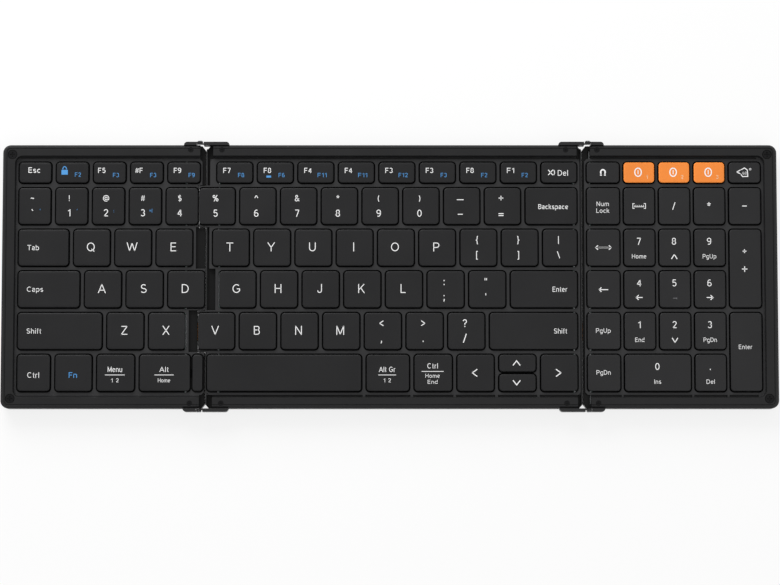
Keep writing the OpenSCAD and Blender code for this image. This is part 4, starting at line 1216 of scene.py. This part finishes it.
# What each CAD key node carries, from the back row to the front one and from left to right
LEGENDS: dict[str, list[Print]] = {
    "keys_left_function": [
        lambda pen: pen.word("Esc", (-0.4, 1.1), 2.5, span=5.5, weight=0.13),
        padlock,
        function("F5", "F3"),
        function("#F", "F3"),
        function("F9", "F9", -3.0),
    ],
    "keys_left_digits": [
        digit("~", "`", "'"),
        digit("!", "1", "'"),
        digit("@", "2", ":"),
        digit("#", "3", "=|"),
        digit("$", "4"),
    ],
    "key_tab": [side_word("Tab", Align.LEFT, 5.3)],
    "keys_left_upper": [letter(c) for c in "QWE"],
    "key_caps_lock": [side_word("Caps", Align.LEFT, 7.4)],
    "keys_left_home": [letter(c) for c in "ASD"],
    "key_left_shift": [side_word("Shift", Align.LEFT, 6.7)],
    "keys_left_lower": [letter(c) for c in "ZX"],
    "keys_left_modifiers": [
        lambda pen: pen.word("Ctrl", (-0.1, -1.0), 2.5, span=5.4),
        lambda pen: pen.word("Fn", (-0.2, -1.0), 2.5, Ink.BLUE, span=3.8, weight=0.13),
        over_line("Menu", 6.6, [("1 2", 3.6)], 9.0),
        over_line("Alt", 4.1, [("Home", 5.6)], 8.7),
    ],
    "key_space_end": [blank],
    "keys_middle_function": [
        function("F7", "F8"),
        second_eight,
        function("F4", "F11"),
        function("F4", "F11"),
        function("F3", "F12"),
        function("F3", "F3"),
        function("F8", "F2"),
        function("F1", "F2"),
        mute_and_delete,
    ],
    "keys_middle_digits": [
        *[two_level(*pair) for pair in ("%5", "^6", "&7", "*8", "(9", ")0")],
        wide_dash,
        equals,
    ],
    "key_backspace": [lambda pen: pen.word("Backspace", (0.9, -0.3), 2.2, span=13.6, weight=0.13)],
    "keys_middle_upper": [
        *[letter(c) for c in "TYUIOP"],
        *[two_level(*pair, 3.0, 3.0) for pair in ("{[", "}]", "|\\")],
    ],
    "keys_middle_home": [
        *[letter(c) for c in "GHJKL"],
        two_level(":", ";", 3.4, 3.4),
        two_level('"', "'", 3.0, 3.0),
    ],
    "key_enter": [side_word("Enter", Align.RIGHT, 6.7, 4.5)],
    "keys_middle_lower": [
        *[letter(c) for c in "VBNM"],
        two_level("<", ",", 3.4, 3.4),
        two_level(">", ".", 3.4, 3.4),
        two_level("?", "/", 3.5, 3.8),
    ],
    "key_right_shift": [side_word("Shift", Align.RIGHT, 6.0, 4.7)],
    "key_space": [blank],
    "keys_middle_modifiers": [
        over_line("Alt Gr", 7.4, [("1 2", 3.4)], 8.1),
        over_line("Ctrl", 4.8, [("Home", 6.6), ("End", 4.6)], 10.0, 1.6),
    ],
    "keys_arrows": [
        open_head((2.1, 3.3), 90),
        open_head((2.3, 3.3), 180),
        open_head((2.3, 3.3), 0),
        open_head((2.1, 3.3), 270),
    ],
    "keys_pad_function": [cluster_lock, tag],
    "keys_channel": [channel(c) for c in "123"],
    "keys_pad_navigation": [
        number_lock,
        double_arrow,
        lambda pen: pen.arrow((0, -0.2), 4.1, 1.0, -1),
        small_word("PgUp", 6.7),
        small_word("PgDn", 6.5),
    ],
    "keys_pad_operators": [measure, sign("/", 3.2), sign("*", 3.6), level_bar],
    "keys_pad_digits": [
        pad("7", "Home", 6.6),
        pad_chevron("8", 90),
        pad("9", "PgUp", 6.2),
        pad_arrow("4", -1),
        five,
        pad_arrow("6", 1),
        pad("1", "End", 4.2),
        pad_chevron("2", 270),
        pad("3", "PgDn", 6.1),
        pad(".", "Del", 3.8),
    ],
    "keys_pad_tall": [crossed(1.0), small_word("Enter", 6.1, (-0.4, 2.3))],
    "key_pad_zero": [pad("0", "Ins", 3.1)],
}


class Keyboard:
    """The object: its CAD nodes in their finishes, its keycaps and their legends."""

    def __init__(self, frame: dict, shop: MaterialShop) -> None:
        """Prepares the keyboard for its dressing.

        Args:
            frame: The loaded CAD frame, with its nodes and its record.
            shop: Source of the materials.
        """
        self.frame = frame
        self.shop = shop
        self.moulder = CapMoulder(CapShape())
        self.slots = {
            part["node"]: part["material_slot"] for part in frame["record"]["subparts"]
        }

    def dress(self) -> None:
        """Gives every CAD node its finish, and replaces the keycaps."""
        for name, node in self.frame["nodes"].items():
            node.data.materials.clear()
            node.data.materials.append(self.shop.get(self.slots[name]))
            if name in LEGENDS:
                self._keys(name, node)

    def _keys(self, name: str, node: bpy.types.Object) -> None:
        """Moulds the caps of one CAD node and prints their legends.

        Args:
            name: Name of the node.
            node: Its object.
        """
        caps = self.moulder.find(node)
        slot = self.slots[name]
        cap_draft = MeshDraft()
        self.moulder.mould(caps, cap_draft)
        dressed = cap_draft.build(f"{name}_caps", [self.shop.get(slot)], smooth=True)
        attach(dressed, name)
        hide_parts(name)
        ink_draft = MeshDraft()
        for cap, draw in zip(caps, LEGENDS[name], strict=True):
            draw(Stylus(cap, ink_draft))
        if ink_draft.faces:
            inks = [self.shop.get(ink.name) for ink in Stylus.INKS]
            legends = ink_draft.build(f"{name}_legends", inks, smooth=False)
            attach(legends, name)


@dataclass(frozen=True)
class Studio:
    """Floor, light and camera.

    Attributes:
        photo: Frame of the photograph.
        tilt_deg: Angle of the camera from straight above, towards the typist.
        distance: Distance of the camera, in metres.
        sensor_mm: Width of its sensor.
        look_z: Height of the plane that the photograph's scale holds for, in metres.
    """

    photo: Photo = Photo()
    tilt_deg: float = 5.0
    distance: float = 1.3
    sensor_mm: float = 36.0
    look_z: float = 0.009

    def floor(self, shop: MaterialShop) -> None:
        """Lays a plain white floor under the feet.

        Args:
            shop: Source of its material.
        """
        bpy.ops.mesh.primitive_plane_add(size=8, location=(0, 0, 0))
        floor = bpy.context.object
        floor.name = "floor"
        floor.data.materials.append(shop.get("floor"))

    def world(self) -> None:
        """Lights the room evenly, and shows plain white behind the object."""
        world = bpy.data.worlds.new("studio")
        bpy.context.scene.world = world
        world.use_nodes = True
        tree = world.node_tree
        fill = tree.nodes["Background"]
        fill.inputs["Color"].default_value = (1, 1, 1, 1)
        fill.inputs["Strength"].default_value = 0.5

    def lamp(self, name: str, place: Point, height: float, size: float, power: float) -> None:
        """Hangs a square soft lamp that faces the keyboard.

        Args:
            name: Its name.
            place: Where it hangs in plan, in metres.
            height: How high it hangs.
            size: Length of its sides.
            power: Its power, in watts.
        """
        data = bpy.data.lights.new(name, "AREA")
        data.size = size
        data.energy = power
        lamp = bpy.data.objects.new(name, data)
        lamp.location = (*place, height)
        lamp.rotation_mode = "QUATERNION"
        lamp.rotation_quaternion = (-lamp.location).to_track_quat("-Z", "Y")
        bpy.context.collection.objects.link(lamp)

    def camera(self) -> None:
        """Sets up the camera so that the keyboard fills the frame as in the photograph."""
        photo = self.photo
        data = bpy.data.cameras.new("camera")
        data.sensor_width = self.sensor_mm
        data.lens = self.sensor_mm * self.distance / (photo.width_px * photo.mm_per_px * MM)
        tilt = math.radians(self.tilt_deg)
        aside = (photo.width_px / 2 - photo.centre_px[0]) * photo.mm_per_px * MM
        down = (photo.centre_px[1] - photo.height_px / 2) * photo.mm_per_px * MM
        target = Vector((aside, down / math.cos(tilt), self.look_z))
        back = Vector((0, -math.sin(tilt), math.cos(tilt)))
        camera = bpy.data.objects.new("camera", data)
        camera.location = target + back * self.distance
        camera.rotation_mode = "QUATERNION"
        camera.rotation_quaternion = (-back).to_track_quat("-Z", "Y")
        bpy.context.collection.objects.link(camera)
        bpy.context.scene.camera = camera

    def build(self, shop: MaterialShop) -> None:
        """Builds the whole studio.

        Args:
            shop: Source of the floor's material.
        """
        self.floor(shop)
        self.world()
        self.lamp("key_lamp", (-0.35, 0.8), 0.6, 0.7, 8)
        self.lamp("fill_lamp", (0.8, -0.6), 1.8, 1.6, 6)
        self.camera()
        scene = bpy.context.scene
        scene.view_settings.view_transform = "Standard"


def corners(bounds: tuple[Vector, Vector]) -> list[list[float]]:
    """Turns a pair of corners into plain lists."""
    return [list(map(float, corner)) for corner in bounds]


def main() -> None:
    """Builds the scene."""
    logging.basicConfig(level=logging.INFO, format="%(name)s: %(message)s")
    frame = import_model()
    shop = MaterialShop()
    Keyboard(frame, shop).dress()
    Studio().build(shop)
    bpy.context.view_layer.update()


if __name__ == "__main__":
    main()
